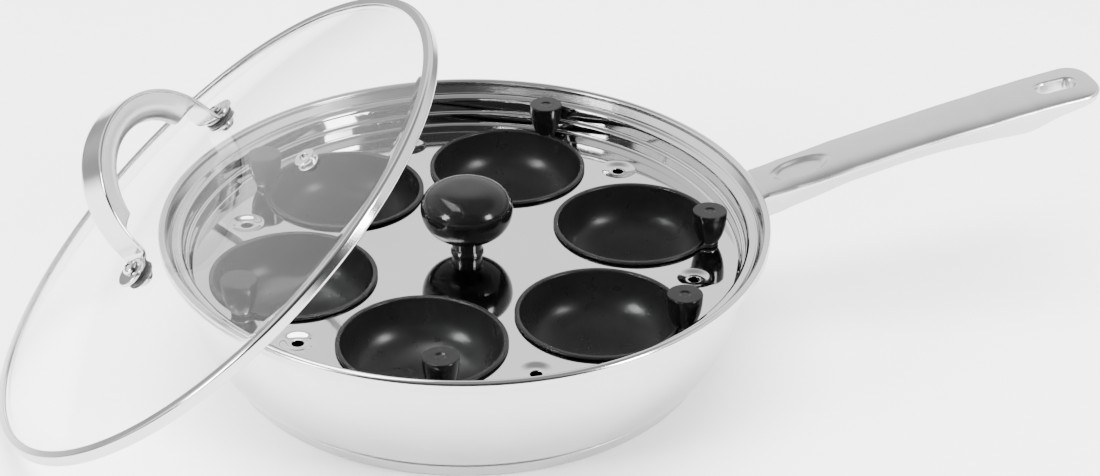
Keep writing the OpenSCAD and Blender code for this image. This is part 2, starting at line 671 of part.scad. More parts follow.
module lid_screws() {
    top = pad_z + strap_t + fit_gap;
    low = -glass_t - seal_t - nut_h + 0.6;
    brim_h = 0.8;
    slit_len = 3.8;
    slit_w = 0.8;
    slit_h = 1;
    color(bright_steel) in_lid() for (side = [-1, 1]) at_foot(side) difference() {
        union() {
            translate([0, 0, low]) cylinder(r = lid_screw_r, h = top - low + brim_h, $fn = 32);
            translate([0, 0, top]) rotate_extrude($fn = 48) polygon(concat([[0, 0], [head_r, 0]],
                [for (a = [20:14:90]) [head_r * cos(a), brim_h + (head_h - brim_h) * sin(a)]],
                [[0, head_h]]));
        }
        for (a = [0, 90]) rotate([0, 0, a]) translate([-slit_len / 2, -slit_w / 2, top + head_h - slit_h])
            cube([slit_len, slit_w, slit_h + over]);
    }
}

module lid_washers() {
    color(bright_steel) in_lid() for (side = [-1, 1]) at_foot(side) translate([0, 0, seal_t]) difference() {
        cylinder(r = seal_r - 0.4, h = washer_t, $fn = 64);
        translate([0, 0, -over]) cylinder(r = lid_screw_r + fit_gap, h = washer_t + 2 * over, $fn = 32);
    }
}

module lid_seals() {
    color("black") in_lid() for (side = [-1, 1]) at_foot(side) for (low = [0, -glass_t - seal_t - 0.1])
        translate([0, 0, low]) difference() {
            cylinder(r = seal_r, h = seal_t, $fn = 64);
            translate([0, 0, -over]) cylinder(r = lid_screw_r + fit_gap, h = seal_t + 2 * over, $fn = 32);
        }
}

module lid_nuts() {
    low = -glass_t - seal_t - 0.1 - nut_h;
    nut_end_t = 0.6;
    color(bright_steel) in_lid() for (side = [-1, 1]) at_foot(side) difference() {
        translate([0, 0, low]) cylinder(r = nut_r, h = nut_h, $fn = 48);
        translate([0, 0, low + nut_end_t]) cylinder(r = lid_screw_r + fit_gap, h = nut_h + over, $fn = 32);
    }
}

pan_body();
base_core();
base_cap();
pan_handle();
handle_bracket();
egg_tray();
tray_knob();
tray_knob_screw();
tray_knob_washer();
for (i = [0:cup_count - 1]) {
    egg_cup(i);
    cup_knob(i);
    cup_stud(i);
}
lid_glass();
lid_band();
lid_vent();
lid_handle();
lid_screws();
lid_washers();
lid_seals();
lid_nuts();
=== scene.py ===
"""Egg poacher pan: the looks of the low steel pan, its tray, six cups, knobs and leaning glass lid.

Shape functions work in millimetres, in the frame's own axes. A profile is a list of (r, z) points that is
turned about Z, and a section is carried along a path. piece() turns the result into metres.
"""
import math

import bmesh
import bpy
import numpy as np
from mathutils import Matrix, Vector
from mathutils.geometry import delaunay_2d_cdt


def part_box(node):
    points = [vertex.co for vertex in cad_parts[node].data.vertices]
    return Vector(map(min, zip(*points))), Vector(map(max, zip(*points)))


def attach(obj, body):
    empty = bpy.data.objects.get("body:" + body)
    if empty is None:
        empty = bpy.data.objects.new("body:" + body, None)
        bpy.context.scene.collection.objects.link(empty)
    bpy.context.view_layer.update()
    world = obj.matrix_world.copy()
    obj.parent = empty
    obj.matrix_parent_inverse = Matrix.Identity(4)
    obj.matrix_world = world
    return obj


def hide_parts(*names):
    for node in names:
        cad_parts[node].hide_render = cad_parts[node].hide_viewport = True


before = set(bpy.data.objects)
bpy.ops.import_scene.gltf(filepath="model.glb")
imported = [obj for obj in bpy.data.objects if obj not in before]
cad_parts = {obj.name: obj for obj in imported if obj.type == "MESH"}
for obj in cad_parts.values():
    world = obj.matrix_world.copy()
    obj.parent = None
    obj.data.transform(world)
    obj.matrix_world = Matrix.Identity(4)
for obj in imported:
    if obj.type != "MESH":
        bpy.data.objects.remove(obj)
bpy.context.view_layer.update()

MM = 0.001
SMOOTH_UNDER = math.radians(40)

# Clearances between a moving piece and its seat, and between fixed pieces that pass through each other
seat_gap = 0.3
fit_gap = 0.05


def corner_mm(node):
    """The lowest and highest corners of a CAD node, in millimetres."""
    low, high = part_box(node)
    return low / MM, high / MM


# Pan
pan_low, pan_high = corner_mm("pan_body")
pan_h = pan_high.z
lip_r = pan_high.x
wall_t = 0.9
ledge_z = pan_h - 6.2
lip_w = 3.6
lip_h = 4.6
lip_slope_w = 2.2
ledge_w = 3.8
ledge_r = lip_r - lip_w - lip_slope_w
wall_r = ledge_r - ledge_w
ledge_bend_r = 1.9
neck_r = wall_r + wall_t
neck_z = ledge_z - ledge_bend_r - 0.1
base_h = pan_low.z
base_r = 109
base_flare = 3.6
base_edge_r = 1.6
shoulder_r = base_r + base_flare + 0.6
belly = 2.8
corner_h = 2.6
wall_low = base_h + corner_h
cap_t = 0.6

# Pan handle
handle_high = corner_mm("pan_handle")[1]
handle_len = handle_high.x - neck_r
tip_len = 12
slot_half = 9.75
slot_half_w = 4.3
slot_back = 19.7
slot_edge_r = 1.3
slot_tilt = math.radians(-8)
handle_edge_r = 1.7
handle_corner_r = 1.8
side_lean = 0.018
recess_out = 33.5
recess_a = 14.8
recess_b = 7.7
recess_depth = 1.8
bracket_t = 1.8

# Tray
tray_z = pan_h - 18.5
tray_t = 0.8
tray_bend_r = 3
step_z = pan_h - 13
step_w = 3.2
tray_r = wall_r - seat_gap
flange_z = ledge_z + seat_gap
flange_r = ledge_r - 2 * seat_gap
plate_r = tray_r - tray_t - step_w
steam_r = 2.6
steam_ring_r = 103
dish_r = 9
dish_depth = 0.9

# Tray knob
knob_low, knob_high = corner_mm("tray_knob")
knob_r = knob_high.x
knob_tall = knob_high.z - knob_low.z
knob_stem_r = 6.7
knob_foot_r = 7.4
cap_high = 10.5
cap_low = 15

# Cups and their knobs
cup_count = 6
cup_ring_r = 79
cup_r = 36.7
cup_roll_r = 0.7
cup_depth = 24
cup_t = 0.8
cup_turns = [-44, -17, 37, 41, 27, 26]
roll_z = tray_z + seat_gap + cup_roll_r
cup_body_r = cup_r - 2 * cup_roll_r - 0.1
cup_mouth_r = cup_body_r - cup_t
opening_r = cup_body_r + 0.6
roll_top = roll_z + cup_roll_r
tab_t = 1.4
tab_z = roll_top - tab_t
tab_end_r = 4.4
tab_fillet_r = 6
tab_rim_r = cup_r - 0.4
tab_crest_r = cup_r - cup_roll_r - 0.2
cup_knob_out = cup_r + 0.4
cup_knob_r = 7.7
cup_knob_foot_r = 4.8
cup_knob_h = 14.7
stud_h = 1
stud_r = 1.5
stud_collar_r = 4.1

# Lid
lid_r = 126
band_w = 4.5
band_t = 0.8
glass_t = 4
dome_h = 25
lid_tilt = math.radians(40.2)
lid_out = 113.2
lid_out_a = math.radians(183.4)
lid_face_a = math.radians(169.2)
band_h = glass_t + 2 * band_t
band_edge_r = 1.4
glass_edge_z = band_t + glass_t
dome_r = lid_r - band_w - 0.2
dome_rise = dome_h - glass_edge_z
dome_sphere_r = (dome_r ** 2 + dome_rise ** 2) / (2 * dome_rise)
lid_z = (lid_r - band_edge_r) * math.sin(lid_tilt) - band_edge_r * math.cos(lid_tilt) + band_edge_r

# Lid fittings
foot_out = 44.5
lid_handle_a = math.radians(58)
arch_h = 43
strap_w = 14
strap_t = 1.8
strap_depth = 12
vent_out = 77.8
vent_turn = math.radians(88)
vent_r = 4.6
seal_r = 6.6
seal_t = 0.8
washer_t = 0.8
pad_z = seal_t + washer_t
pad_r = 7
pad_out = 1.6
foot_w = 5.6
leg_in = 5.6
leg_h = 3.4
lid_screw_r = 2
head_r = 3.6
head_h = 2.2
nut_r = 4.4
nut_h = 3.2
under_seal = -glass_t - seal_t - 0.1


def rounded(corners, steps=6, hold=0.25):
    """Outline through corners (x, y, radius). A corner with a radius becomes the arc that touches both of its
    sides: its centre lies on the corner's bisector at radius / sin(half the angle). A point at the distance
    hold before and after each arc keeps the shading of long straight sides flat."""
    corner = np.array([c[:2] for c in corners], float)
    line = [corner[:1]]
    for k in range(1, len(corners) - 1):
        back, ahead = corner[k - 1] - corner[k], corner[k + 1] - corner[k]
        room = min(np.linalg.norm(back), np.linalg.norm(ahead))
        back, ahead = back / np.linalg.norm(back), ahead / np.linalg.norm(ahead)
        half = 0.5 * math.acos(max(-1, min(1, back @ ahead)))
        if corners[k][2] == 0 or half > 1.56:
            line.append(corner[k:k + 1])
            continue
        reach = min(corners[k][2] / math.tan(half), 0.48 * room)
        radius = reach * math.tan(half)
        middle = corner[k] + (back + ahead) / np.linalg.norm(back + ahead) * radius / math.sin(half)
        start, end = corner[k] + back * reach - middle, corner[k] + ahead * reach - middle
        turn = math.atan2(start[0] * end[1] - start[1] * end[0], start @ end)
        a = math.atan2(start[1], start[0]) + np.linspace(0, turn, steps + 1)
        arc = middle + radius * np.stack([np.cos(a), np.sin(a)], 1)
        pad = min(hold, 0.4 * (room - reach))
        line += [(corner[k] + back * (reach + pad))[None], arc, (corner[k] + ahead * (reach + pad))[None]]
    line.append(corner[-1:])
    return np.concatenate(line)


def grid_faces(rows, cols, wrap_rows, wrap_cols):
    """Four-cornered faces between neighbouring rows and columns of points numbered row by row."""
    r = np.arange(rows if wrap_rows else rows - 1)[:, None]
    c = np.arange(cols if wrap_cols else cols - 1)[None]
    r_next, c_next = (r + 1) % rows, (c + 1) % cols
    corners = [r * cols + c, r * cols + c_next, r_next * cols + c_next, r_next * cols + c]
    return np.stack([k.ravel() for k in corners], 1)


def weld(points, blocks):
    """Points that share a place become one, and a four-cornered face that loses a corner becomes a triangle."""
    place = np.round(points * 1e4).astype(np.int64)
    first, back = np.unique(place, axis=0, return_index=True, return_inverse=True)[1:]
    back = back.ravel()
    out = []
    for block in blocks:
        block = back[block]
        same = block == np.roll(block, -1, 1)
        lost = same.sum(1)
        out.append(block[lost == 0])
        if block.shape[1] == 4 and (lost == 1).any():
            out.append(block[lost == 1][~same[lost == 1]].reshape(-1, 3))
    return points[first], [block for block in out if len(block)]


def volume(points, blocks):
    """Volume inside a closed surface, negative where its faces point inwards."""
    total = 0
    for block in blocks:
        for k in range(1, block.shape[1] - 1):
            a, b, c = points[block[:, 0]], points[block[:, k]], points[block[:, k + 1]]
            total += np.einsum("ij,ij->", a, np.cross(b, c)) / 6
    return total


def outward(points, blocks):
    """The closed surface with its points welded and all its faces turned outwards."""
    points, blocks = weld(points, blocks)
    return (points, blocks) if volume(points, blocks) > 0 else (points, [block[:, ::-1] for block in blocks])


def ring_points(profile, around):
    """Points (r cos a, r sin a, z) of a profile (r, z) turned about Z, for a = 0 to one turn."""
    r, z = np.asarray(profile, float).T[:, :, None]
    a = np.arange(around) * 2 * math.pi / around
    return np.stack([r * np.cos(a), r * np.sin(a), z + 0 * a], -1)


def turned(profile, around=256):
    """A profile turned about Z as a closed solid. It starts and ends on the axis, or closes on itself."""
    rows = len(profile)
    points = ring_points(profile, around).reshape(-1, 3)
    on_axis = abs(profile[0][0]) < 1e-9 and abs(profile[-1][0]) < 1e-9
    return outward(points, [grid_faces(rows, around, not on_axis, True)])


def lofted(sections):
    """A closed tube through sections of equal numbers of points, with flat ends."""
    rows, cols = sections.shape[:2]
    ends = [np.arange(cols)[None, ::-1], (rows - 1) * cols + np.arange(cols)[None]]
    return outward(sections.reshape(-1, 3), [grid_faces(rows, cols, False, True), *ends])


def moved(shape, matrix):
    """A shape with each point p at matrix p."""
    m = np.array(matrix)
    return shape[0] @ m[:3, :3].T + m[:3, 3], shape[1]


def mesh_from(name, shapes):
    """One mesh of several shapes, in metres, smooth except where faces meet at a sharp angle."""
    points, faces, count = [], [], 0
    for shape_points, blocks in shapes:
        points.append(shape_points)
        for block in blocks:
            faces += (block + count).tolist()
        count += len(shape_points)
    mesh = bpy.data.meshes.new(name)
    mesh.from_pydata((np.concatenate(points) * MM).tolist(), [], faces)
    soften(mesh)
    return mesh


def soften(mesh):
    """Smooth shading with sharp edges where faces meet at more than SMOOTH_UNDER."""
    mesh.polygons.foreach_set("use_smooth", np.ones(len(mesh.polygons), bool))
    mesh.set_sharp_from_angle(angle=SMOOTH_UNDER)


def piece(name, shapes, body, material, nodes=()):
    """One object that rides on a body, has a finish and stands for CAD nodes."""
    mesh = mesh_from(name, shapes) if isinstance(shapes, list) else shapes
    mesh.materials.clear()
    mesh.materials.append(material)
    ob = bpy.data.objects.new(name, mesh)
    bpy.context.scene.collection.objects.link(ob)
    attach(ob, body)
    if nodes:
        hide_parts(*nodes)
    return ob


def arc_points(middle, radius, start, end, steps):
    """Points on a circle from one angle to another, in degrees."""
    a = np.radians(np.linspace(start, end, steps + 1))
    return np.array(middle) + radius * np.stack([np.cos(a), np.sin(a)], 1)


# Finishes

def node_group(name, inputs, outputs):
    """An empty shader group with float or vector inputs and outputs, its nodes and a way to join sockets."""
    tree = bpy.data.node_groups.new(name, "ShaderNodeTree")
    for label, kind, value in inputs:
        socket = tree.interface.new_socket(label, in_out="INPUT", socket_type=kind)
        if value is not None:
            socket.default_value = value
    for label, kind in outputs:
        tree.interface.new_socket(label, in_out="OUTPUT", socket_type=kind)
    return tree, tree.nodes.new("NodeGroupInput"), tree.nodes.new("NodeGroupOutput")


def add(tree, kind, **settings):
    """A node of that kind with its settings, and its inputs filled from the sockets' names and values."""
    node = tree.nodes.new(kind)
    sockets = settings.pop("sockets", {})
    for key, value in settings.items():
        setattr(node, key, value)
    for key, value in sockets.items():
        node.inputs[key].default_value = value
    return node


def line_group(name, fineness, reads):
    """Fine lines in a surface: noise that reads the vector which reads() works out, at a fineness."""
    tree, into, out = node_group(
        name,
        [("Vector", "NodeSocketVector", None), ("Fineness", "NodeSocketFloat", fineness)],
        [("Lines", "NodeSocketFloat")])
    scale = add(tree, "ShaderNodeVectorMath", operation="SCALE")
    noise = add(tree, "ShaderNodeTexNoise", sockets={"Scale": 1.0, "Detail": 3.0, "Roughness": 0.6})
    link = tree.links.new
    link(reads(tree, into.outputs["Vector"]), scale.inputs[0])
    link(into.outputs["Fineness"], scale.inputs["Scale"])
    link(scale.outputs[0], noise.inputs["Vector"])
    link(noise.outputs[0], out.inputs["Lines"])
    return tree


def scaled(tree, vector, factors):
    """The vector with each of its parts times its factor."""
    node = add(tree, "ShaderNodeVectorMath", operation="MULTIPLY")
    node.inputs[1].default_value = factors
    tree.links.new(vector, node.inputs[0])
    return node.outputs[0]


def round_the_axis(tree, vector):
    """The distance from the axis and the height: noise that reads them makes rings, as turning does."""
    length = add(tree, "ShaderNodeVectorMath", operation="LENGTH")
    parts = add(tree, "ShaderNodeSeparateXYZ")
    join = add(tree, "ShaderNodeCombineXYZ")
    tree.links.new(scaled(tree, vector, (1, 1, 0)), length.inputs[0])
    tree.links.new(vector, parts.inputs[0])
    tree.links.new(length.outputs["Value"], join.inputs[0])
    tree.links.new(parts.outputs[2], join.inputs[1])
    return join.outputs[0]


def drawn_along_x(tree, vector):
    """The vector squeezed along X: the specks of noise that reads it become long scratches."""
    return scaled(tree, vector, (0.02, 1, 1))


def cloud_group():
    """Slow clouding of a surface: soft noise between a low and a high value."""
    tree, into, out = node_group(
        "clouding",
        [("Vector", "NodeSocketVector", None), ("Scale", "NodeSocketFloat", 30.0),
         ("Low", "NodeSocketFloat", 0.2), ("High", "NodeSocketFloat", 0.3)],
        [("Value", "NodeSocketFloat")])
    noise = add(tree, "ShaderNodeTexNoise", sockets={"Detail": 4.0, "Roughness": 0.55})
    spread = add(tree, "ShaderNodeMapRange", sockets={"From Min": 0.3, "From Max": 0.7})
    link = tree.links.new
    link(into.outputs["Vector"], noise.inputs["Vector"])
    link(into.outputs["Scale"], noise.inputs["Scale"])
    link(noise.outputs[0], spread.inputs["Value"])
    link(into.outputs["Low"], spread.inputs["To Min"])
    link(into.outputs["High"], spread.inputs["To Max"])
    link(spread.outputs[0], out.inputs["Value"])
    return tree


turning_lines = line_group("turning_lines", 3000.0, round_the_axis)
drawn_grain = line_group("drawn_grain", 2500.0, drawn_along_x)
clouding = cloud_group()


def blank_material(name):
    """A material with only a Principled shader, with its tree, shader and object coordinates."""
    material = bpy.data.materials.new(name)
    material.use_nodes = True
    tree = material.node_tree
    shader = tree.nodes["Principled BSDF"]
    place = tree.nodes.new("ShaderNodeTexCoord")
    return material, tree, shader, place.outputs["Object"]


def put_group(tree, group, vector, **sockets):
    """The group as a node that reads the vector, with its other inputs set."""
    node = tree.nodes.new("ShaderNodeGroup")
    node.node_tree = group
    tree.links.new(vector, node.inputs["Vector"])
    for key, value in sockets.items():
        node.inputs[key].default_value = value
    return node.outputs[0]


def tint(tree, value, dark, light):
    """A colour between dark and light by a value from 0 to 1."""
    mix = add(tree, "ShaderNodeMix", data_type="RGBA")
    mix.inputs[6].default_value = (*dark, 1)
    mix.inputs[7].default_value = (*light, 1)
    tree.links.new(value, mix.inputs[0])
    return mix.outputs[2]


def bump(tree, height, strength, distance):
    """A normal bent by a height."""
    node = add(tree, "ShaderNodeBump", sockets={"Strength": strength, "Distance": distance})
    tree.links.new(height, node.inputs["Height"])
    return node.outputs[0]


def steel(name, light, rough, lines, fineness, depth, place=None):
    """Stainless steel: its colour and roughness cloud a little, and fine lines bend its normal. The lines lie
    in the frame's axes, or in those of a place."""
    material, tree, shader, vector = blank_material(name)
    if place is not None:
        turn = add(tree, "ShaderNodeMapping", vector_type="TEXTURE")
        turn.inputs["Location"].default_value = place.to_translation() * MM
        turn.inputs["Rotation"].default_value = place.to_euler()
        tree.links.new(vector, turn.inputs["Vector"])
        vector = turn.outputs[0]
    marks = put_group(tree, lines, vector, Fineness=fineness)
    cloud = put_group(tree, clouding, vector, Scale=22.0, Low=0.0, High=1.0)
    dark = tuple(0.94 * c for c in light)
    tree.links.new(tint(tree, cloud, dark, light), shader.inputs["Base Color"])
    shade = put_group(tree, clouding, vector, Scale=45.0, Low=rough * 0.88, High=rough * 1.12)
    tree.links.new(shade, shader.inputs["Roughness"])
    tree.links.new(bump(tree, marks, 1.0, depth), shader.inputs["Normal"])
    shader.inputs["Metallic"].default_value = 1
    return material


def phenolic():
    """Glossy black moulded plastic, with a faint orange peel and a few dull patches."""
    material, tree, shader, vector = blank_material("black_phenolic")
    cloud = put_group(tree, clouding, vector, Scale=60.0, Low=0.0, High=1.0)
    tree.links.new(tint(tree, cloud, (0.002, 0.002, 0.002), (0.004, 0.004, 0.004)), shader.inputs["Base Color"])
    shade = put_group(tree, clouding, vector, Scale=180.0, Low=0.13, High=0.18)
    tree.links.new(shade, shader.inputs["Roughness"])
    peel = put_group(tree, clouding, vector, Scale=500.0, Low=0.0, High=1.0)
    tree.links.new(bump(tree, peel, 0.25, 0.00002), shader.inputs["Normal"])
    shader.inputs["Specular IOR Level"].default_value = 0.17
    return material


def nonstick():
    """Black non-stick coating on steel, with fine flecks and a pebbled surface."""
    material, tree, shader, vector = blank_material("nonstick_coating")
    fleck = put_group(tree, clouding, vector, Scale=2200.0, Low=0.0, High=1.0)
    tree.links.new(tint(tree, fleck, (0.004, 0.004, 0.004), (0.008, 0.008, 0.008)), shader.inputs["Base Color"])
    shade = put_group(tree, clouding, vector, Scale=120.0, Low=0.26, High=0.34)
    tree.links.new(shade, shader.inputs["Roughness"])
    pebble = put_group(tree, clouding, vector, Scale=1500.0, Low=0.0, High=1.0)
    tree.links.new(bump(tree, pebble, 0.2, 0.00002), shader.inputs["Normal"])
    shader.inputs["Specular IOR Level"].default_value = 0.15
    return material


def rubber():
    """Matt black rubber with a little dust in it."""
    material, tree, shader, vector = blank_material("black_rubber")
    cloud = put_group(tree, clouding, vector, Scale=300.0, Low=0.0, High=1.0)
    tree.links.new(tint(tree, cloud, (0.012, 0.012, 0.012), (0.02, 0.02, 0.02)), shader.inputs["Base Color"])
    shade = put_group(tree, clouding, vector, Scale=400.0, Low=0.55, High=0.75)
    tree.links.new(shade, shader.inputs["Roughness"])
    return material


def glass():
    """Clear tempered glass with faint smears, which lets the lamps' light through to what is behind it."""
    material, tree, shader, vector = blank_material("clear_glass")
    cloud = put_group(tree, clouding, vector, Scale=14.0, Low=0.0, High=1.0)
    tree.links.new(tint(tree, cloud, (0.955, 0.965, 0.962), (0.975, 0.98, 0.978)), shader.inputs["Base Color"])
    shade = put_group(tree, clouding, vector, Scale=30.0, Low=0.0, High=0.002)
    tree.links.new(shade, shader.inputs["Roughness"])
    shader.inputs["Transmission Weight"].default_value = 1
    shader.inputs["IOR"].default_value = 1.45
    clear = add(tree, "ShaderNodeBsdfTransparent")
    clear.inputs[0].default_value = (0.92, 0.94, 0.935, 1)
    path = add(tree, "ShaderNodeLightPath")
    mix = add(tree, "ShaderNodeMixShader")
    tree.links.new(path.outputs["Is Shadow Ray"], mix.inputs[0])
    tree.links.new(shader.outputs[0], mix.inputs[1])
    tree.links.new(clear.outputs[0], mix.inputs[2])
    tree.links.new(mix.outputs[0], tree.nodes["Material Output"].inputs["Surface"])
    return material


lid_frame = (Matrix.Translation((lid_out * math.cos(lid_out_a), lid_out * math.sin(lid_out_a), lid_z))
             @ Matrix.Rotation(lid_face_a, 4, "Z") @ Matrix.Rotation(lid_tilt, 4, "Y"))
satin_steel = steel("satin_steel", (0.60, 0.60, 0.597), 0.13, turning_lines, 5000.0, 0.000004)
base_steel = steel("base_steel", (0.56, 0.56, 0.557), 0.3, turning_lines, 6000.0, 0.000006)
handle_steel = steel("handle_steel", (0.62, 0.62, 0.617), 0.3, drawn_grain, 4000.0, 0.000004)
band_steel = steel("band_steel", (0.60, 0.60, 0.597), 0.12, turning_lines, 5000.0, 0.000004, lid_frame)
sleeve_steel = steel("sleeve_steel", (0.62, 0.62, 0.617), 0.32, drawn_grain, 4000.0, 0.000004, lid_frame)
tray_steel = steel("polished_steel", (0.58, 0.58, 0.578), 0.05, turning_lines, 400.0, 0.000002)
bright_steel = steel("bright_steel", (0.66, 0.66, 0.66), 0.1, turning_lines, 3000.0, 0.000002)
aluminium = steel("base_aluminium", (0.8, 0.8, 0.8), 0.4, turning_lines, 5000.0, 0.000006)
black_phenolic = phenolic()
nonstick_coating = nonstick()
black_rubber = rubber()
clear_glass = glass()


# Pan

def wall_out(z):
    """Outer radius of the wall at height z: shoulder + (neck - shoulder)(1 - (1 - share of the height)^belly)."""
    share = np.clip((z - base_h) / (neck_z - base_h), 0, 1)
    return shoulder_r + (neck_r - shoulder_r) * (1 - (1 - share) ** belly)


def wall_line(t, steps=60):
    """The wall's line from its corner to its neck, moved inwards by t along its normal."""
    z = np.linspace(wall_low, neck_z - 0.1, steps)
    slope = (wall_out(z + 0.05) - wall_out(z - 0.05)) / 0.1
    norm = np.sqrt(1 + slope ** 2)
    return np.stack([wall_out(z) - t / norm, z + t * slope / norm], 1)


def pan_shell():
    """The drawn pan as one sheet: flat bottom, bellied wall, neck, beaded lip, ledge, and the same way back
    inside."""
    roll = lip_w / 2
    outside, inside = wall_line(0), wall_line(wall_t)[::-1]
    foot = rounded([(0, base_h, 0), (shoulder_r - 2.2, base_h, 2.6), tuple(outside[0]) + (0,)])
    lip_low = pan_h - lip_h
    under_lip = rounded([tuple(outside[-1]) + (0,), (neck_r + 0.5, neck_z + 0.8, 0.8),
                         (ledge_r + 0.4, ledge_z - wall_t, 1), (lip_r - lip_w + 0.3, lip_low, 0.6),
                         (lip_r - 1.2, lip_low, 0)])
    face = rounded([(lip_r - 1.2, lip_low, 0), (lip_r, lip_low, 0.9), (lip_r, pan_h - roll, 0)])
    top = arc_points((lip_r - roll, pan_h - roll), roll, 0, 215, 20)
    slope = rounded([tuple(top[-1]) + (0,), (ledge_r + 0.7, ledge_z + 0.6, 0.5), (ledge_r, ledge_z, 0.6),
                     (wall_r + ledge_bend_r, ledge_z, 0)])
    bend = arc_points((wall_r + ledge_bend_r, ledge_z - ledge_bend_r), ledge_bend_r, 90, 180, 8)
    low = inside[-1]
    floor = rounded([tuple(low) + (0,), (low[0] - 1.4, base_h + wall_t, 3.2), (0, base_h + wall_t, 0)])
    line = np.concatenate([foot, outside[1:], under_lip[1:], face[1:], top[1:], slope[1:], bend[1:], inside,
                           floor[1:]])
    return turned(line, 384)


def base_out(z):
    """Outer radius of the base at height z."""
    return base_r + base_flare * z / base_h


def base_disc():
    """The base's steel cap: a shallow dish with a rounded lower edge, open at the top."""
    line = rounded([(0, 0, 0), (base_r, 0, base_edge_r), (base_out(base_h - 0.2), base_h - 0.2, 0.25),
                    (base_out(base_h) - cap_t, base_h - 0.2, 0), (base_r - cap_t, cap_t, 1.0), (0, cap_t, 0)])
    return turned(line, 384)


# Handle rows: share of the length, edge height above the lip, half width, depth of the side, rise of the crown
handle_rows = np.array([
    [0.004, -7.6, 12.2, 12.5, 0.1],
    [0.044, -7.5, 12.5, 13.5, 0.2],
    [0.074, -5.7, 13.0, 14.5, 0.5],
    [0.150, -3.1, 13.8, 12.4, 1.1],
    [0.300, 2.6, 14.4, 9.1, 1.3],
    [0.507, 9.7, 14.6, 8.6, 1.3],
    [0.680, 15.1, 15.2, 11.0, 1.2],
    [0.800, 18.8, 15.5, 13.5, 1.2],
    [0.880, 21.0, 15.8, 8.8, 1.2],
    [1.000, 23.6, 16.2, 5.0, 0.8]])


def along_rows(share):
    """The handle's rows as smooth curves through the table: Catmull-Rom between neighbouring rows."""
    last = len(handle_rows) - 1
    i = np.clip(np.searchsorted(handle_rows[:, 0], share) - 1, 0, last - 1)
    t = ((share - handle_rows[i, 0]) / (handle_rows[i + 1, 0] - handle_rows[i, 0]))[:, None]
    p0, p1 = handle_rows[np.maximum(i - 1, 0)], handle_rows[i]
    p2, p3 = handle_rows[i + 1], handle_rows[np.minimum(i + 2, last)]
    row = 0.5 * (2 * p1 + (p2 - p0) * t + (2 * p0 - 5 * p1 + 4 * p2 - p3) * t ** 2
                 + (3 * p1 - p0 - 3 * p2 + p3) * t ** 3)
    return row[:, 1:].T[:, :, None]


def edge_drop(d, r):
    """How far a rounded edge of radius r lies below the flat at a distance d inside it."""
    d = np.clip(d, 0, r)
    return r - np.sqrt(r * r - (r - d) ** 2)


def soft_step(t):
    """0 below 0, 1 above 1, and 3t^2 - 2t^3 between."""
    t = np.clip(t, 0, 1)
    return t * t * (3 - 2 * t)


def handle_sections():
    """The handle's closed sections: a crowned top with a thumb recess, rounded edges, and sides that lean in.
    At the tip |y / w|^3 + (x / l)^2 = 1. The distance inside that line is about (1 - f) / |gradient of f|."""
    tip = handle_len - tip_len
    body = np.linspace(bracket_t + 0.1, tip, 300)
    x = np.concatenate([body, tip + tip_len * np.sin(np.radians(np.linspace(1, 89.6, 60)))])
    past = np.clip((x - tip) / tip_len, 0, 1)[:, None]
    narrow = (1 - past ** 2) ** (1 / 3)
    edge, half_w, depth, crown = along_rows(x / handle_len)
    w = half_w * narrow
    fan = 1.35
    share = np.sin(np.linspace(-fan, fan, 121)) / math.sin(fan)
    y = w * share
    inside = ((1 - np.abs(y / half_w) ** 3 - past ** 2)
              / np.maximum(0.01, np.hypot(2 * past / tip_len, 3 * (y / half_w) ** 2 / half_w)))
    oval = np.sqrt(((x[:, None] - recess_out) / recess_a) ** 2 + (y / recess_b) ** 2)
    slot_x = handle_len - slot_back
    run = slot_half - slot_half_w
    slot_d = np.hypot(np.clip(np.abs(x[:, None] - slot_x) - run, 0, None), y) - slot_half_w
    top_z = (pan_h + edge + crown * narrow * (1 - share ** 4) - edge_drop(inside, handle_edge_r)
             - recess_depth * soft_step((1 - oval) / 0.3) - edge_drop(slot_d, slot_edge_r))
    low_w = w * (1 - side_lean * depth)
    low_z = pan_h + edge - depth
    t = np.linspace(0, 1, 9)[None, 1:]
    side_y = w + (low_w - w) * t
    side_z = top_z[:, -1:] + (low_z + handle_corner_r - top_z[:, -1:]) * t
    a = np.radians(np.linspace(0, 90, 8))[None, 1:]
    turn_r = handle_corner_r * narrow
    bend_y = low_w - turn_r + turn_r * np.cos(a)
    bend_z = low_z + handle_corner_r * (1 - np.sin(a))
    under = np.linspace(1, -1, 11)[None, 1:-1]
    under_y = (low_w - turn_r) * under
    ys = [y, side_y, bend_y, under_y, -bend_y[:, ::-1], -side_y[:, ::-1][:, 1:]]
    zs = [top_z, side_z, bend_z, low_z + 0 * under_y, bend_z[:, ::-1], side_z[:, ::-1][:, 1:]]
    ys, zs = np.concatenate(ys, 1), np.concatenate(zs, 1)
    return np.stack([neck_r + x[:, None] + 0 * ys, ys, zs], -1)


def slot_cutter():
    """A long round-ended prism where the hanging slot is."""
    run = slot_half - slot_half_w
    right = arc_points((run, 0), slot_half_w, -90, 90, 24)
    left = arc_points((-run, 0), slot_half_w, 90, 270, 24)
    outline = np.concatenate([right, left])
    ends = [np.concatenate([outline, np.full((len(outline), 1), z)], 1) for z in (-30, 30)]
    middle = Matrix.Translation((neck_r + handle_len - slot_back, 0, pan_h + 20))
    return moved(lofted(np.stack(ends)), middle @ Matrix.Rotation(slot_tilt, 4, "Y"))


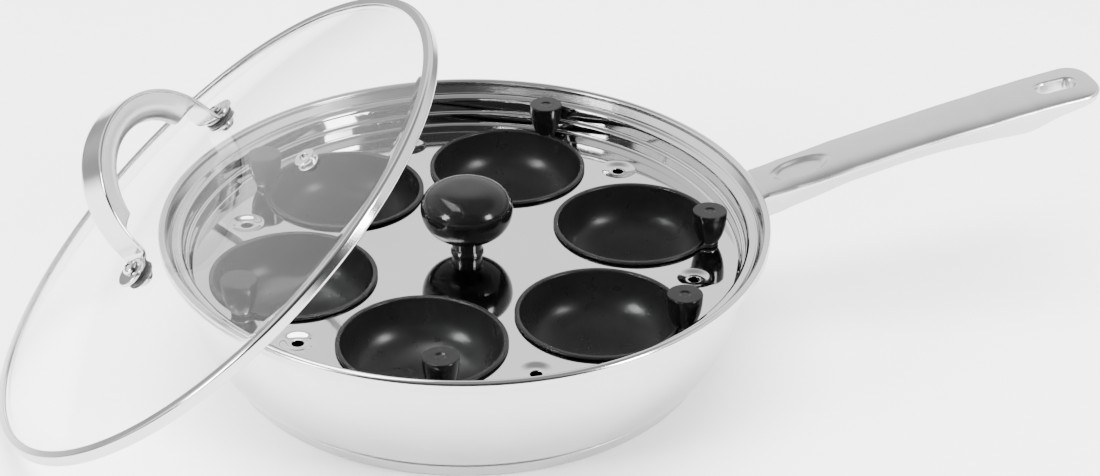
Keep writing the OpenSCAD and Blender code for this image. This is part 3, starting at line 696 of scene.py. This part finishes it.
def cut(mesh, cutters):
    """The mesh with the cutters' volume taken out of it."""
    ob, tool = [bpy.data.objects.new(m.name, m) for m in (mesh, mesh_from("cutter", cutters))]
    for o in (ob, tool):
        bpy.context.scene.collection.objects.link(o)
    step = ob.modifiers.new("cut", "BOOLEAN")
    step.operation, step.solver, step.object = "DIFFERENCE", "EXACT", tool
    bpy.context.view_layer.update()
    result = bpy.data.meshes.new_from_object(ob.evaluated_get(bpy.context.evaluated_depsgraph_get()))
    for o in (ob, tool):
        bpy.data.objects.remove(o)
    soften(result)
    return result


# Tray

def opening_line():
    """Edge of a cup's opening, from the plate's top round to its underside."""
    return rounded([(opening_r + 1.2, tray_z, 0), (opening_r, tray_z, 0.3), (opening_r, tray_z - tray_t, 0.3),
                    (opening_r + 1.2, tray_z - tray_t, 0)], 4)


def dish_line():
    """A steam hole in its pressed dish: the plate sinks along a cosine, then turns down through the hole."""
    r = np.linspace(dish_r, steam_r + 0.7, 15)
    sink = dish_depth * 0.5 * (1 + np.cos(math.pi * (r - steam_r - 0.7) / (dish_r - steam_r - 0.7)))
    upper = np.stack([r, tray_z - sink], 1)
    hole = rounded([tuple(upper[-1]) + (0,), (steam_r, tray_z - dish_depth, 0.3),
                    (steam_r, tray_z - dish_depth - tray_t, 0.2),
                    (steam_r + 0.7, tray_z - dish_depth - tray_t, 0)], 4, 0.05)
    lower = np.stack([r, tray_z - sink - tray_t], 1)[::-1]
    start, end = [(dish_r + 0.4, tray_z)], [(dish_r + 0.4, tray_z - tray_t)]
    return np.concatenate([start, upper, hole[1:-1], lower, end])


def tray_edge_line():
    """The tray's edge from the plate's top up over its step, out to the flange, and back under it."""
    t = tray_t
    inner, top = tray_r - t, flange_z + t
    middle = (inner + tray_bend_r, top - tray_bend_r)
    upper = rounded([(plate_r - 2, tray_z, 0), (plate_r + 0.6, tray_z, 2), (plate_r + 1.3, step_z, 1.2),
                     (inner, step_z, 1.5), (inner, middle[1], 0)], 6, 0.15)
    edge = rounded([(middle[0], top, 0), (flange_r, top, 0.3), (flange_r, flange_z, 0.3),
                    (middle[0], flange_z, 0)], 6, 0.1)
    lower = rounded([(tray_r, middle[1], 0), (tray_r, step_z - t, 2), (plate_r + 1.3 + t, step_z - t, 0.5),
                     (plate_r + 0.6 + t, tray_z - t, 2.4), (plate_r - 2, tray_z - t, 0)], 6, 0.15)
    return np.concatenate([upper, arc_points(middle, tray_bend_r, 180, 90, 10)[1:], edge[1:],
                           arc_points(middle, tray_bend_r - t, 90, 180, 8)[1:], lower[1:]])


def flat_sheet(loops, z):
    """Flat face at height z inside the first loop and outside the others: a triangulation of the loops' points.
    A triangle with all its corners on one hole's loop lies in that hole and is left out."""
    flat = np.concatenate(loops)[:, :2]
    owner = np.repeat(np.arange(len(loops)), [len(loop) for loop in loops])
    edges, count = [], 0
    for loop in loops:
        k = np.arange(len(loop))
        edges += (np.stack([k, (k + 1) % len(loop)], 1) + count).tolist()
        count += len(loop)
    made = delaunay_2d_cdt([Vector(p) for p in flat], edges, [], 0, 1e-5)
    origin = np.array([ids[0] for ids in made[3]])
    faces = origin[np.array(made[2])]
    held = owner[faces]
    keep = (held[:, 0] == 0) | (held != held[:, :1]).any(1)
    return np.concatenate([flat, np.full((len(flat), 1), z)], 1), faces[keep]


def tray_shape():
    """The tray as one closed sheet: its edge, six openings and six dished steam holes, joined by flat faces."""
    rows = [ring_points(tray_edge_line(), 384)]
    for k in range(cup_count):
        cup_a = 2 * math.pi * k / cup_count
        hole_a = cup_a + math.pi / cup_count
        opening = ring_points(opening_line(), 128)
        dish = ring_points(dish_line(), 48)
        rows.append(opening + np.array([cup_ring_r * math.cos(cup_a), cup_ring_r * math.sin(cup_a), 0]))
        rows.append(dish + np.array([steam_ring_r * math.cos(hole_a), steam_ring_r * math.sin(hole_a), 0]))
    points, blocks, count = [], [], 0
    for grid in rows:
        points.append(grid.reshape(-1, 3))
        blocks.append(grid_faces(*grid.shape[:2], False, True) + count)
        count += len(points[-1])
    for end, z in ((0, tray_z), (-1, tray_z - tray_t)):
        sheet, faces = flat_sheet([grid[end] for grid in rows], z)
        points.append(sheet)
        blocks.append(faces + count)
        count += len(sheet)
    points, blocks = weld(np.concatenate(points), blocks)
    mesh = mesh_from("tray_sheet", [(points, blocks)])
    built = bmesh.new()
    built.from_mesh(mesh)
    bmesh.ops.recalc_face_normals(built, faces=built.faces)
    built.to_mesh(mesh)
    built.free()
    soften(mesh)
    return mesh


def tray_grip():
    """The tray's knob: a stem and a cap. Below the cap's widest place the radius is R cos(a)^0.7 and the height
    falls by cap_low sin(a). Above it they are R cos(a)^0.55 and cap_high sin(a)^1.1, a flatter dome."""
    a = np.radians(np.linspace(-77, 90, 90))
    up = np.sin(np.clip(a, 0, None))
    cap_r = knob_r * np.clip(np.cos(a), 0, None) ** np.where(a < 0, 0.7, 0.55)
    cap_z = knob_tall - cap_high + np.where(a < 0, cap_low * np.sin(a), cap_high * up ** 1.1)
    stem = rounded([(0, 0, 0), (knob_foot_r, 0, 0.2), (knob_foot_r, 0.7, 0.3), (knob_stem_r, 1.9, 1),
                    (knob_stem_r, 6.4, 1.4), (cap_r[0], cap_z[0], 0)])
    line = np.concatenate([stem, np.stack([cap_r, cap_z], 1)[1:-1], [(0, knob_tall)]])
    return moved(turned(line, 160), Matrix.Translation((0, 0, knob_low.z)))


# Cups

def cup_place(k):
    """Where cup k stands, in the tray's opening."""
    a = 2 * math.pi * k / cup_count
    return Matrix.Rotation(a, 4, "Z") @ Matrix.Translation((cup_ring_r, 0, 0))


def knob_place(k):
    """Where the knob of cup k stands, on top of the cup's tab."""
    return (cup_place(k) @ Matrix.Rotation(math.radians(cup_turns[k]), 4, "Z")
            @ Matrix.Translation((cup_knob_out, 0, tab_z + tab_t)))


def bowl_line(r, depth, steps=36):
    """A bowl's line from its bottom to its mouth: radius r (1 - (1 - u)^3)^(1/4) at the share u of its depth."""
    u = np.linspace(0, 1, steps) ** 1.6
    return np.stack([r * (1 - (1 - u) ** 3) ** 0.25, roll_z - depth + depth * u], 1)


def cup_bowl():
    """The cup's closed profile: outside of the bowl, round the roll of the rim, over its mouth and down inside."""
    outer = bowl_line(cup_body_r, cup_depth)
    outer = outer[outer[:, 1] < roll_z - 1.0]
    roll = arc_points((cup_r - cup_roll_r, roll_z), cup_roll_r, 215, 450, 24)
    inner = bowl_line(cup_mouth_r, cup_depth - cup_t)[::-1]
    mouth = rounded([tuple(roll[-1]) + (0,), (cup_mouth_r, roll_z + cup_roll_r, 0.9), tuple(inner[3]) + (0,)])
    return turned(np.concatenate([outer, roll, mouth[1:], inner[4:]]), 160)


def cup_tab():
    """The tab under the cup's knob: a round ear whose sides flow into the rim through fillets that touch both,
    with rounded edges. A fillet's centre lies where circles of rim + fillet and ear + fillet cross."""
    a, b = tab_rim_r + tab_fillet_r, tab_end_r + tab_fillet_r
    x = (cup_knob_out ** 2 + a * a - b * b) / (2 * cup_knob_out)
    c = np.array([x, math.sqrt(a * a - x * x)])
    rim_a = math.degrees(math.atan2(c[1], c[0]))
    ear_a = math.degrees(math.atan2(c[1], c[0] - cup_knob_out))
    side = arc_points(c, tab_fillet_r, rim_a + 180, ear_a + 180, 12)
    outline = np.concatenate([
        arc_points((0, 0), tab_crest_r, -rim_a, rim_a, 12)[1:-1], side,
        arc_points((cup_knob_out, 0), tab_end_r, ear_a, -ear_a, 36)[1:-1], side[::-1] * [1, -1]])
    along = np.roll(outline, -1, 0) - np.roll(outline, 1, 0)
    normal = np.stack([along[:, 1], -along[:, 0]], 1) / np.linalg.norm(along, axis=1)[:, None]
    a = np.radians(np.linspace(90, 0, 6))
    edge_r = 0.45
    sections = []
    for b in a:
        flat = outline + normal * edge_r * (1 - math.cos(b))
        z = tab_z + tab_t - edge_r * (1 - math.sin(b))
        sections.append(np.concatenate([flat, np.full((len(flat), 1), z)], 1))
    low = [np.concatenate([s[:, :2], (2 * tab_z + tab_t - s[:, 2])[:, None]], 1) for s in sections[::-1]]
    return lofted(np.stack(sections + low))


def cup_grip():
    """A cup's knob: its radius grows from the foot as 1 - (1 - u)^2.4 of the way, up to a flat top with a
    dimple."""
    u = np.linspace(0, 1, 24)
    side_r = cup_knob_foot_r + (cup_knob_r - cup_knob_foot_r) * (1 - (1 - u) ** 2.4)
    side = np.stack([side_r, (cup_knob_h - 1.1) * u], 1)
    top = rounded([tuple(side[-1]) + (0,), (cup_knob_r, cup_knob_h, 0.75), (2.6, cup_knob_h, 0.6),
                   (1.5, cup_knob_h - 0.4, 0.5), (0, cup_knob_h - 0.4, 0)])
    return moved(turned(np.concatenate([[(0, 0)], side, top[1:]]), 96), Matrix.Translation((0, 0, stud_h)))


def cup_post():
    """The bright stud under a cup's knob: a collar on the tab, and its shank."""
    c = stud_collar_r
    line = rounded([(0, -tab_t, 0), (stud_r, -tab_t, 0.2), (stud_r, 0, 0), (c, 0, 0.25), (c, stud_h, 0.3),
                    (stud_r, stud_h, 0), (stud_r, stud_h + 6, 0.2), (0, stud_h + 6, 0)], 4, 0.05)
    return turned(line, 64)


# Lid

def on_dome(out, a):
    """Where a fitting stands on the dome's outer face, out from the lid's axis in the direction a."""
    tip = Matrix.Rotation(math.asin(out / dome_sphere_r), 4, "Y")
    return (lid_frame @ Matrix.Rotation(a, 4, "Z") @ Matrix.Translation((0, 0, dome_h - dome_sphere_r))
            @ tip @ Matrix.Translation((0, 0, dome_sphere_r)))


def feet():
    """Places of the two feet of the lid's handle."""
    return [on_dome(foot_out, lid_handle_a), on_dome(foot_out, lid_handle_a + math.pi)]


def dome_line(t, out, steps=48):
    """Points along the dome's outer face, or its inner face with t as the glass's thickness."""
    r = dome_sphere_r - t
    a = np.linspace(0, math.asin(out / r), steps)
    return np.stack([r * np.sin(a), dome_h - dome_sphere_r + r * np.cos(a)], 1)


def lid_dome():
    """The domed glass, with its flat rim inside the band."""
    under_r = math.sqrt((dome_sphere_r - glass_t) ** 2 - (band_t - dome_h + dome_sphere_r) ** 2)
    rim_r = lid_r - band_t - fit_gap
    rim = rounded([(dome_r, glass_edge_z, 0), (rim_r, glass_edge_z, 0.4), (rim_r, band_t, 0.4),
                   (under_r, band_t, 0)])
    line = np.concatenate([dome_line(0, dome_r), rim[1:-1], dome_line(glass_t, under_r)[::-1]])
    return moved(turned(line, 384), lid_frame)


def lid_rim():
    """The steel band folded round the glass's edge."""
    inner, t = lid_r - band_w, band_t
    line = rounded([(inner, 0.3, 0), (inner, 0, 0.25), (lid_r, 0, band_edge_r), (lid_r, band_h, band_edge_r),
                    (inner, band_h, 0.25), (inner, glass_edge_z, 0.1), (lid_r - t, glass_edge_z, 0.3),
                    (lid_r - t, t, 0.3), (inner, t, 0.1), (inner, 0.3, 0)], 6, 0.1)
    return moved(turned(line[:-1], 384), lid_frame)


def lid_eyelet():
    """The steam vent: an eyelet with a domed flange on each side of the glass and an open tube between."""
    tube, hole = vent_r - 1.6, vent_r - 2.9
    low = -glass_t - 1
    line = rounded([(hole, low, 0), (vent_r, low, 0.4), (vent_r - 0.3, low + 0.9, 0.2), (tube, low + 0.95, 0),
                    (tube, 0, 0), (vent_r - 0.3, 0, 0.2), (vent_r, 0.9, 0.5), (hole, 1.1, 0.6),
                    (hole, low, 0)], 6, 0.05)
    return moved(turned(line[:-1], 64), on_dome(vent_out, lid_handle_a + vent_turn))


foot_a = math.asin(foot_out / dome_sphere_r)
pad_s = (dome_sphere_r + pad_z + strap_t) * math.sin(foot_a)
pad_top = dome_h - dome_sphere_r + (dome_sphere_r + pad_z + strap_t) * math.cos(foot_a)
arch_s = pad_s - leg_in


def arch_line(a):
    """The handle's outer line in its own plane, an ellipse over the feet, and its outward normal."""
    p = np.stack([arch_s * np.cos(a), pad_top + leg_h + (arch_h - leg_h) * np.sin(a)], 1)
    n = np.stack([np.cos(a) / arch_s, np.sin(a) / (arch_h - leg_h)], 1)
    return p, n / np.linalg.norm(n, axis=1)[:, None]


def strap_sections(line, normal, half_w, t):
    """Sections of a flat strap with rounded edges: outer face on the line, thickness t towards the inside."""
    r = 0.45 * t
    a = np.radians(np.linspace(-90, 90, 9))
    edge = np.stack([r * np.cos(a) - r, t / 2 * (np.sin(a) - 1)], 1)
    across = np.linspace(-1, 1, 13)[1:-1]
    out = []
    for p, n, w in zip(line, normal, half_w):
        right = np.stack([w + edge[:, 0], edge[:, 1]], 1)
        top = np.stack([-(w - r) * across, 0 * across], 1)
        left = right[::-1] * [-1, 1]
        under = np.stack([(w - r) * across, 0 * across - t], 1)
        q = np.concatenate([right, top, left, under])
        out.append(np.stack([p[0] + n[0] * q[:, 1], q[:, 0], p[1] + n[1] * q[:, 1]], 1))
    return np.stack(out)


def lid_strap():
    """The handle's flat strap: two pads under the screws, short bends, and the arch between them."""
    foot = rounded([(pad_s - 1, pad_top, 0), (arch_s + 1.9, pad_top, 1), (arch_s + 0.3, pad_top + 1.4, 2.2),
                    (arch_s, pad_top + leg_h + 1, 0)], 8)[:-1]
    a = np.linspace(0.05, math.pi - 0.05, 120)
    arch, arch_n = arch_line(a)
    step = np.gradient(foot, axis=0)
    foot_n = np.stack([step[:, 1], -step[:, 0]], 1) / np.linalg.norm(step, axis=1)[:, None]
    line = np.concatenate([foot, arch, (foot * [-1, 1])[::-1]])
    normal = np.concatenate([foot_n, arch_n, (foot_n * [-1, 1])[::-1]])
    grow = soft_step(np.linspace(0, 1, len(foot)))
    leg_w = foot_w + (strap_w / 2 - foot_w) * grow
    half_w = np.concatenate([leg_w, np.full(len(arch), strap_w / 2), leg_w[::-1]])
    in_plane = lid_frame @ Matrix.Rotation(lid_handle_a, 4, "Z")
    pad = rounded([(0, 0, 0), (pad_r, 0, 0.5), (pad_r, strap_t, 0.5), (0, strap_t, 0)])
    pads = [moved(turned(pad, 64), place @ Matrix.Translation((pad_out, 0, pad_z))) for place in feet()]
    return [moved(lofted(strap_sections(line, normal, half_w, strap_t)), in_plane), *pads]


def lid_sleeve():
    """The handle's round side: a D-shaped section under the strap. Its depth grows over the first degrees of
    each end, so that both ends are cut on a slant."""
    a = np.radians(np.linspace(14, 166, 120))
    p, n = arch_line(a)
    end = np.minimum(a - a[0], a[-1] - a)
    grow = np.clip(end / math.radians(6), 0, 1)
    b = np.radians(np.linspace(180, 0, 33))
    w = (strap_w / 2 - 0.4) * (0.9 + 0.1 * grow)[:, None]
    start = strap_t * 0.6
    depth = start + (strap_depth - start) * (0.3 + 0.7 * grow)[:, None]
    across = w * np.cos(b)
    inwards = -start - (depth - start) * np.sin(b) ** 0.85
    x = p[:, :1] + n[:, :1] * inwards
    z = p[:, 1:] + n[:, 1:] * inwards
    shape = lofted(np.stack([x, across, z], -1))
    return moved(shape, lid_frame @ Matrix.Rotation(lid_handle_a, 4, "Z"))


def bolt_line():
    """A lid screw's line from its tip up to its domed head."""
    top, low = pad_z + strap_t + fit_gap, -glass_t - seal_t - nut_h + 0.6
    a = np.radians(np.linspace(15, 90, 12))
    head = np.stack([head_r * np.cos(a), top + 0.7 + (head_h - 0.7) * np.sin(a)], 1)
    shank = [(0, low), (lid_screw_r, low), (lid_screw_r, top), (head_r - 0.2, top), (head_r, top + 0.3)]
    return np.concatenate([shank, head[:-1], [(0, top + head_h)]])


def cross_cutter(place):
    """A prism with a plus sign as its section, where a screw's cross slot is."""
    a, b = 2.1, 0.42
    arm = np.array([(a, -b), (a, b), (b, b)])
    plus = np.concatenate([arm @ np.array([[c, s], [-s, c]]) for c, s in ((1, 0), (0, 1), (-1, 0), (0, -1))])
    top = pad_z + strap_t + head_h
    ends = [np.concatenate([plus, np.full((len(plus), 1), z)], 1) for z in (top - 1, top + 1)]
    return moved(lofted(np.stack(ends)), place)


def ring_line(outer, low, high, edge_r):
    """A flat ring round the lid's screw, with rounded outer edges."""
    hole = lid_screw_r + fit_gap
    return rounded([(hole, low, 0), (outer, low, edge_r), (outer, high, edge_r), (hole, high, 0)])


def cap_nut_line():
    """A nut with a domed end inside the lid."""
    end = under_seal - nut_h
    return rounded([(0, end, 0), (nut_r - 1.2, end, 1), (nut_r, end + 1.6, 0.8), (nut_r, under_seal, 0.3),
                    (0, under_seal, 0)])


def at_feet(profile, around=64):
    """A profile turned at each foot of the lid's handle."""
    return [moved(turned(profile, around), place) for place in feet()]


# Building the pieces

piece("pan_shell", [pan_shell()], "pan", satin_steel, ["pan_body"])
piece("base_disc", [base_disc()], "pan", base_steel, ["base_cap"])
piece("long_handle", cut(mesh_from("long_handle", [lofted(handle_sections())]), [slot_cutter()]),
      "pan", handle_steel, ["pan_handle"])
piece("tray_sheet", tray_shape(), "tray", tray_steel, ["egg_tray"])
piece("tray_grip", [tray_grip()], "tray", black_phenolic, ["tray_knob"])
for k in range(cup_count):
    body, n = f"cup_{k + 1}", k + 1
    turn = Matrix.Rotation(math.radians(cup_turns[k]), 4, "Z")
    piece(f"cup_bowl_{n}", [moved(cup_bowl(), cup_place(k)), moved(cup_tab(), cup_place(k) @ turn)], body,
          nonstick_coating, [f"egg_cup_{n}"])
    piece(f"cup_grip_{n}", [moved(cup_grip(), knob_place(k))], body, black_phenolic,
          [f"cup_knob_{n}"])
    piece(f"cup_post_{n}", [moved(cup_post(), knob_place(k))], body, bright_steel,
          [f"cup_stud_{n}"])
piece("lid_dome", [lid_dome()], "lid", clear_glass, ["lid_glass"])
piece("lid_rim", [lid_rim()], "lid", band_steel, ["lid_band"])
piece("lid_eyelet", [lid_eyelet()], "lid", bright_steel, ["lid_vent"])
piece("lid_strap", lid_strap(), "lid", band_steel, ["lid_handle"])
piece("lid_sleeve", [lid_sleeve()], "lid", sleeve_steel)
bolts = cut(mesh_from("lid_bolts", at_feet(bolt_line())), [cross_cutter(place) for place in feet()])
piece("lid_bolts", bolts, "lid", bright_steel, ["lid_screws"])
piece("lid_rings", at_feet(ring_line(seal_r - 0.4, seal_t, pad_z, 0.35)), "lid", bright_steel,
      ["lid_washers"])
seals = [shape for low in (0, under_seal) for shape in at_feet(ring_line(seal_r, low, low + seal_t, 0.4))]
piece("lid_gaskets", seals, "lid", black_rubber, ["lid_seals"])
piece("lid_cap_nuts", at_feet(cap_nut_line()), "lid", bright_steel, ["lid_nuts"])

kept_finishes = {"base_core": aluminium, "handle_bracket": satin_steel, "tray_knob_screw": bright_steel,
                 "tray_knob_washer": bright_steel}
for node, finish in kept_finishes.items():
    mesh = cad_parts[node].data
    mesh.materials.clear()
    mesh.materials.append(finish)


# Camera: a pinhole fitted to the photograph's rim, base, cup and lid ellipses

photo_width = 1100
photo_focal = 2489.9
camera_distance = 1.10694
camera_rise = 0.52181
camera_yaw = 0.03859
camera_pitch = 0.00913
camera_roll = 0.01052
rim_height = 0.0637
object_turn = math.radians(-15.8)
toward_camera = -90 + math.degrees(object_turn)


def place_camera():
    """The camera looks at the rim's middle from its distance and rise, then yaws, pitches and rolls a little."""
    c, s = math.cos(camera_rise), math.sin(camera_rise)
    spot = Vector((0, -camera_distance * c, camera_distance * s + rim_height))
    dip = camera_rise + camera_pitch
    ahead = Vector((math.sin(camera_yaw) * math.cos(dip), math.cos(camera_yaw) * math.cos(dip), -math.sin(dip)))
    level = Vector((math.cos(camera_yaw), -math.sin(camera_yaw), 0))
    upright = level.cross(ahead)
    right = math.cos(camera_roll) * level + math.sin(camera_roll) * upright
    up = -math.sin(camera_roll) * level + math.cos(camera_roll) * upright
    turn = Matrix.Rotation(object_turn, 3, "Z")
    camera = bpy.data.cameras.new("camera")
    camera.sensor_width = 36
    camera.lens = camera.sensor_width * photo_focal / photo_width
    camera.clip_start = 0.01
    ob = bpy.data.objects.new("camera", camera)
    axes = Matrix([turn @ right, turn @ up, turn @ -ahead]).transposed()
    ob.matrix_world = Matrix.Translation(turn @ spot) @ axes.to_4x4()
    bpy.context.scene.collection.objects.link(ob)
    bpy.context.scene.camera = ob


def plane_mesh(name, size):
    """A flat square of that size in the XY plane."""
    h = size / 2
    mesh = bpy.data.meshes.new(name)
    mesh.from_pydata([(-h, -h, 0), (h, -h, 0), (h, h, 0), (-h, h, 0)], [], [(0, 1, 2, 3)])
    return mesh


def lay_floor():
    """A plain pale floor."""
    material, tree, shader, vector = blank_material("pale_floor")
    cloud = put_group(tree, clouding, vector, Scale=3.0, Low=0.0, High=1.0)
    tree.links.new(tint(tree, cloud, (0.90, 0.90, 0.90), (0.92, 0.92, 0.92)), shader.inputs["Base Color"])
    shader.inputs["Roughness"].default_value = 0.9
    shader.inputs["Specular IOR Level"].default_value = 0.1
    mesh = plane_mesh("floor", 8)
    mesh.materials.append(material)
    floor = bpy.data.objects.new("floor", mesh)
    bpy.context.scene.collection.objects.link(floor)


def hang_lamp(name, azimuth, rise, distance, wide, high, power):
    """A soft square lamp that faces the pan from an azimuth and a rise, in degrees."""
    a, e = math.radians(azimuth), math.radians(rise)
    spot = Vector((math.cos(a) * math.cos(e), math.sin(a) * math.cos(e), math.sin(e))) * distance
    light = bpy.data.lights.new(name, "AREA")
    light.shape, light.size, light.size_y, light.energy = "RECTANGLE", wide, high, power
    ob = bpy.data.objects.new(name, light)
    ob.matrix_world = Matrix.Translation(spot) @ (-spot).to_track_quat("-Z", "Y").to_matrix().to_4x4()
    bpy.context.scene.collection.objects.link(ob)
    return ob


def light_studio():
    """A bright room, dark low down towards the camera, just above the horizon and overhead, with two small lamps
    in front. A large lamp overhead lifts the floor and stays out of the reflections."""
    world = bpy.data.worlds.new("studio")
    bpy.context.scene.world = world
    world.use_nodes = True
    tree = world.node_tree
    place = tree.nodes.new("ShaderNodeTexCoord")
    link = tree.links.new
    front_a = math.radians(toward_camera)
    camera_side = Vector((math.cos(front_a), math.sin(front_a), 0))
    dot = add(tree, "ShaderNodeVectorMath", operation="DOT_PRODUCT")
    dot.inputs[1].default_value = camera_side * 0.9 - Vector((0, 0, 0.55))
    link(place.outputs["Generated"], dot.inputs[0])
    front = add(tree, "ShaderNodeMapRange", interpolation_type="SMOOTHSTEP",
                sockets={"From Min": 0.03, "From Max": 0.10, "To Min": 1.0, "To Max": 0.05})
    link(dot.outputs["Value"], front.inputs["Value"])
    parts = add(tree, "ShaderNodeSeparateXYZ")
    link(place.outputs["Generated"], parts.inputs[0])
    low = add(tree, "ShaderNodeMapRange", interpolation_type="SMOOTHSTEP",
              sockets={"From Min": 0.07, "From Max": 0.24, "To Min": 0.3, "To Max": 1.0})
    link(parts.outputs[2], low.inputs["Value"])
    both = add(tree, "ShaderNodeMath", operation="MULTIPLY")
    link(front.outputs[0], both.inputs[0])
    link(low.outputs[0], both.inputs[1])
    high = add(tree, "ShaderNodeMapRange", interpolation_type="SMOOTHSTEP",
               sockets={"From Min": 0.6, "From Max": 0.85, "To Min": 1.0, "To Max": 0.25})
    link(parts.outputs[2], high.inputs["Value"])
    room = add(tree, "ShaderNodeMath", operation="MULTIPLY")
    link(both.outputs[0], room.inputs[0])
    link(high.outputs[0], room.inputs[1])
    link(room.outputs[0], tree.nodes["Background"].inputs["Color"])
    tree.nodes["Background"].inputs["Strength"].default_value = 2.0
    overhead = hang_lamp("overhead_lamp", toward_camera + 180, 80, 2.5, 2.5, 2.5, 290)
    overhead.visible_glossy = False
    for name, aside in (("left_lamp", -57), ("right_lamp", 57)):
        hang_lamp(name, toward_camera + aside, 26, 1.3, 0.28, 0.4, 24)


place_camera()
lay_floor()
light_studio()
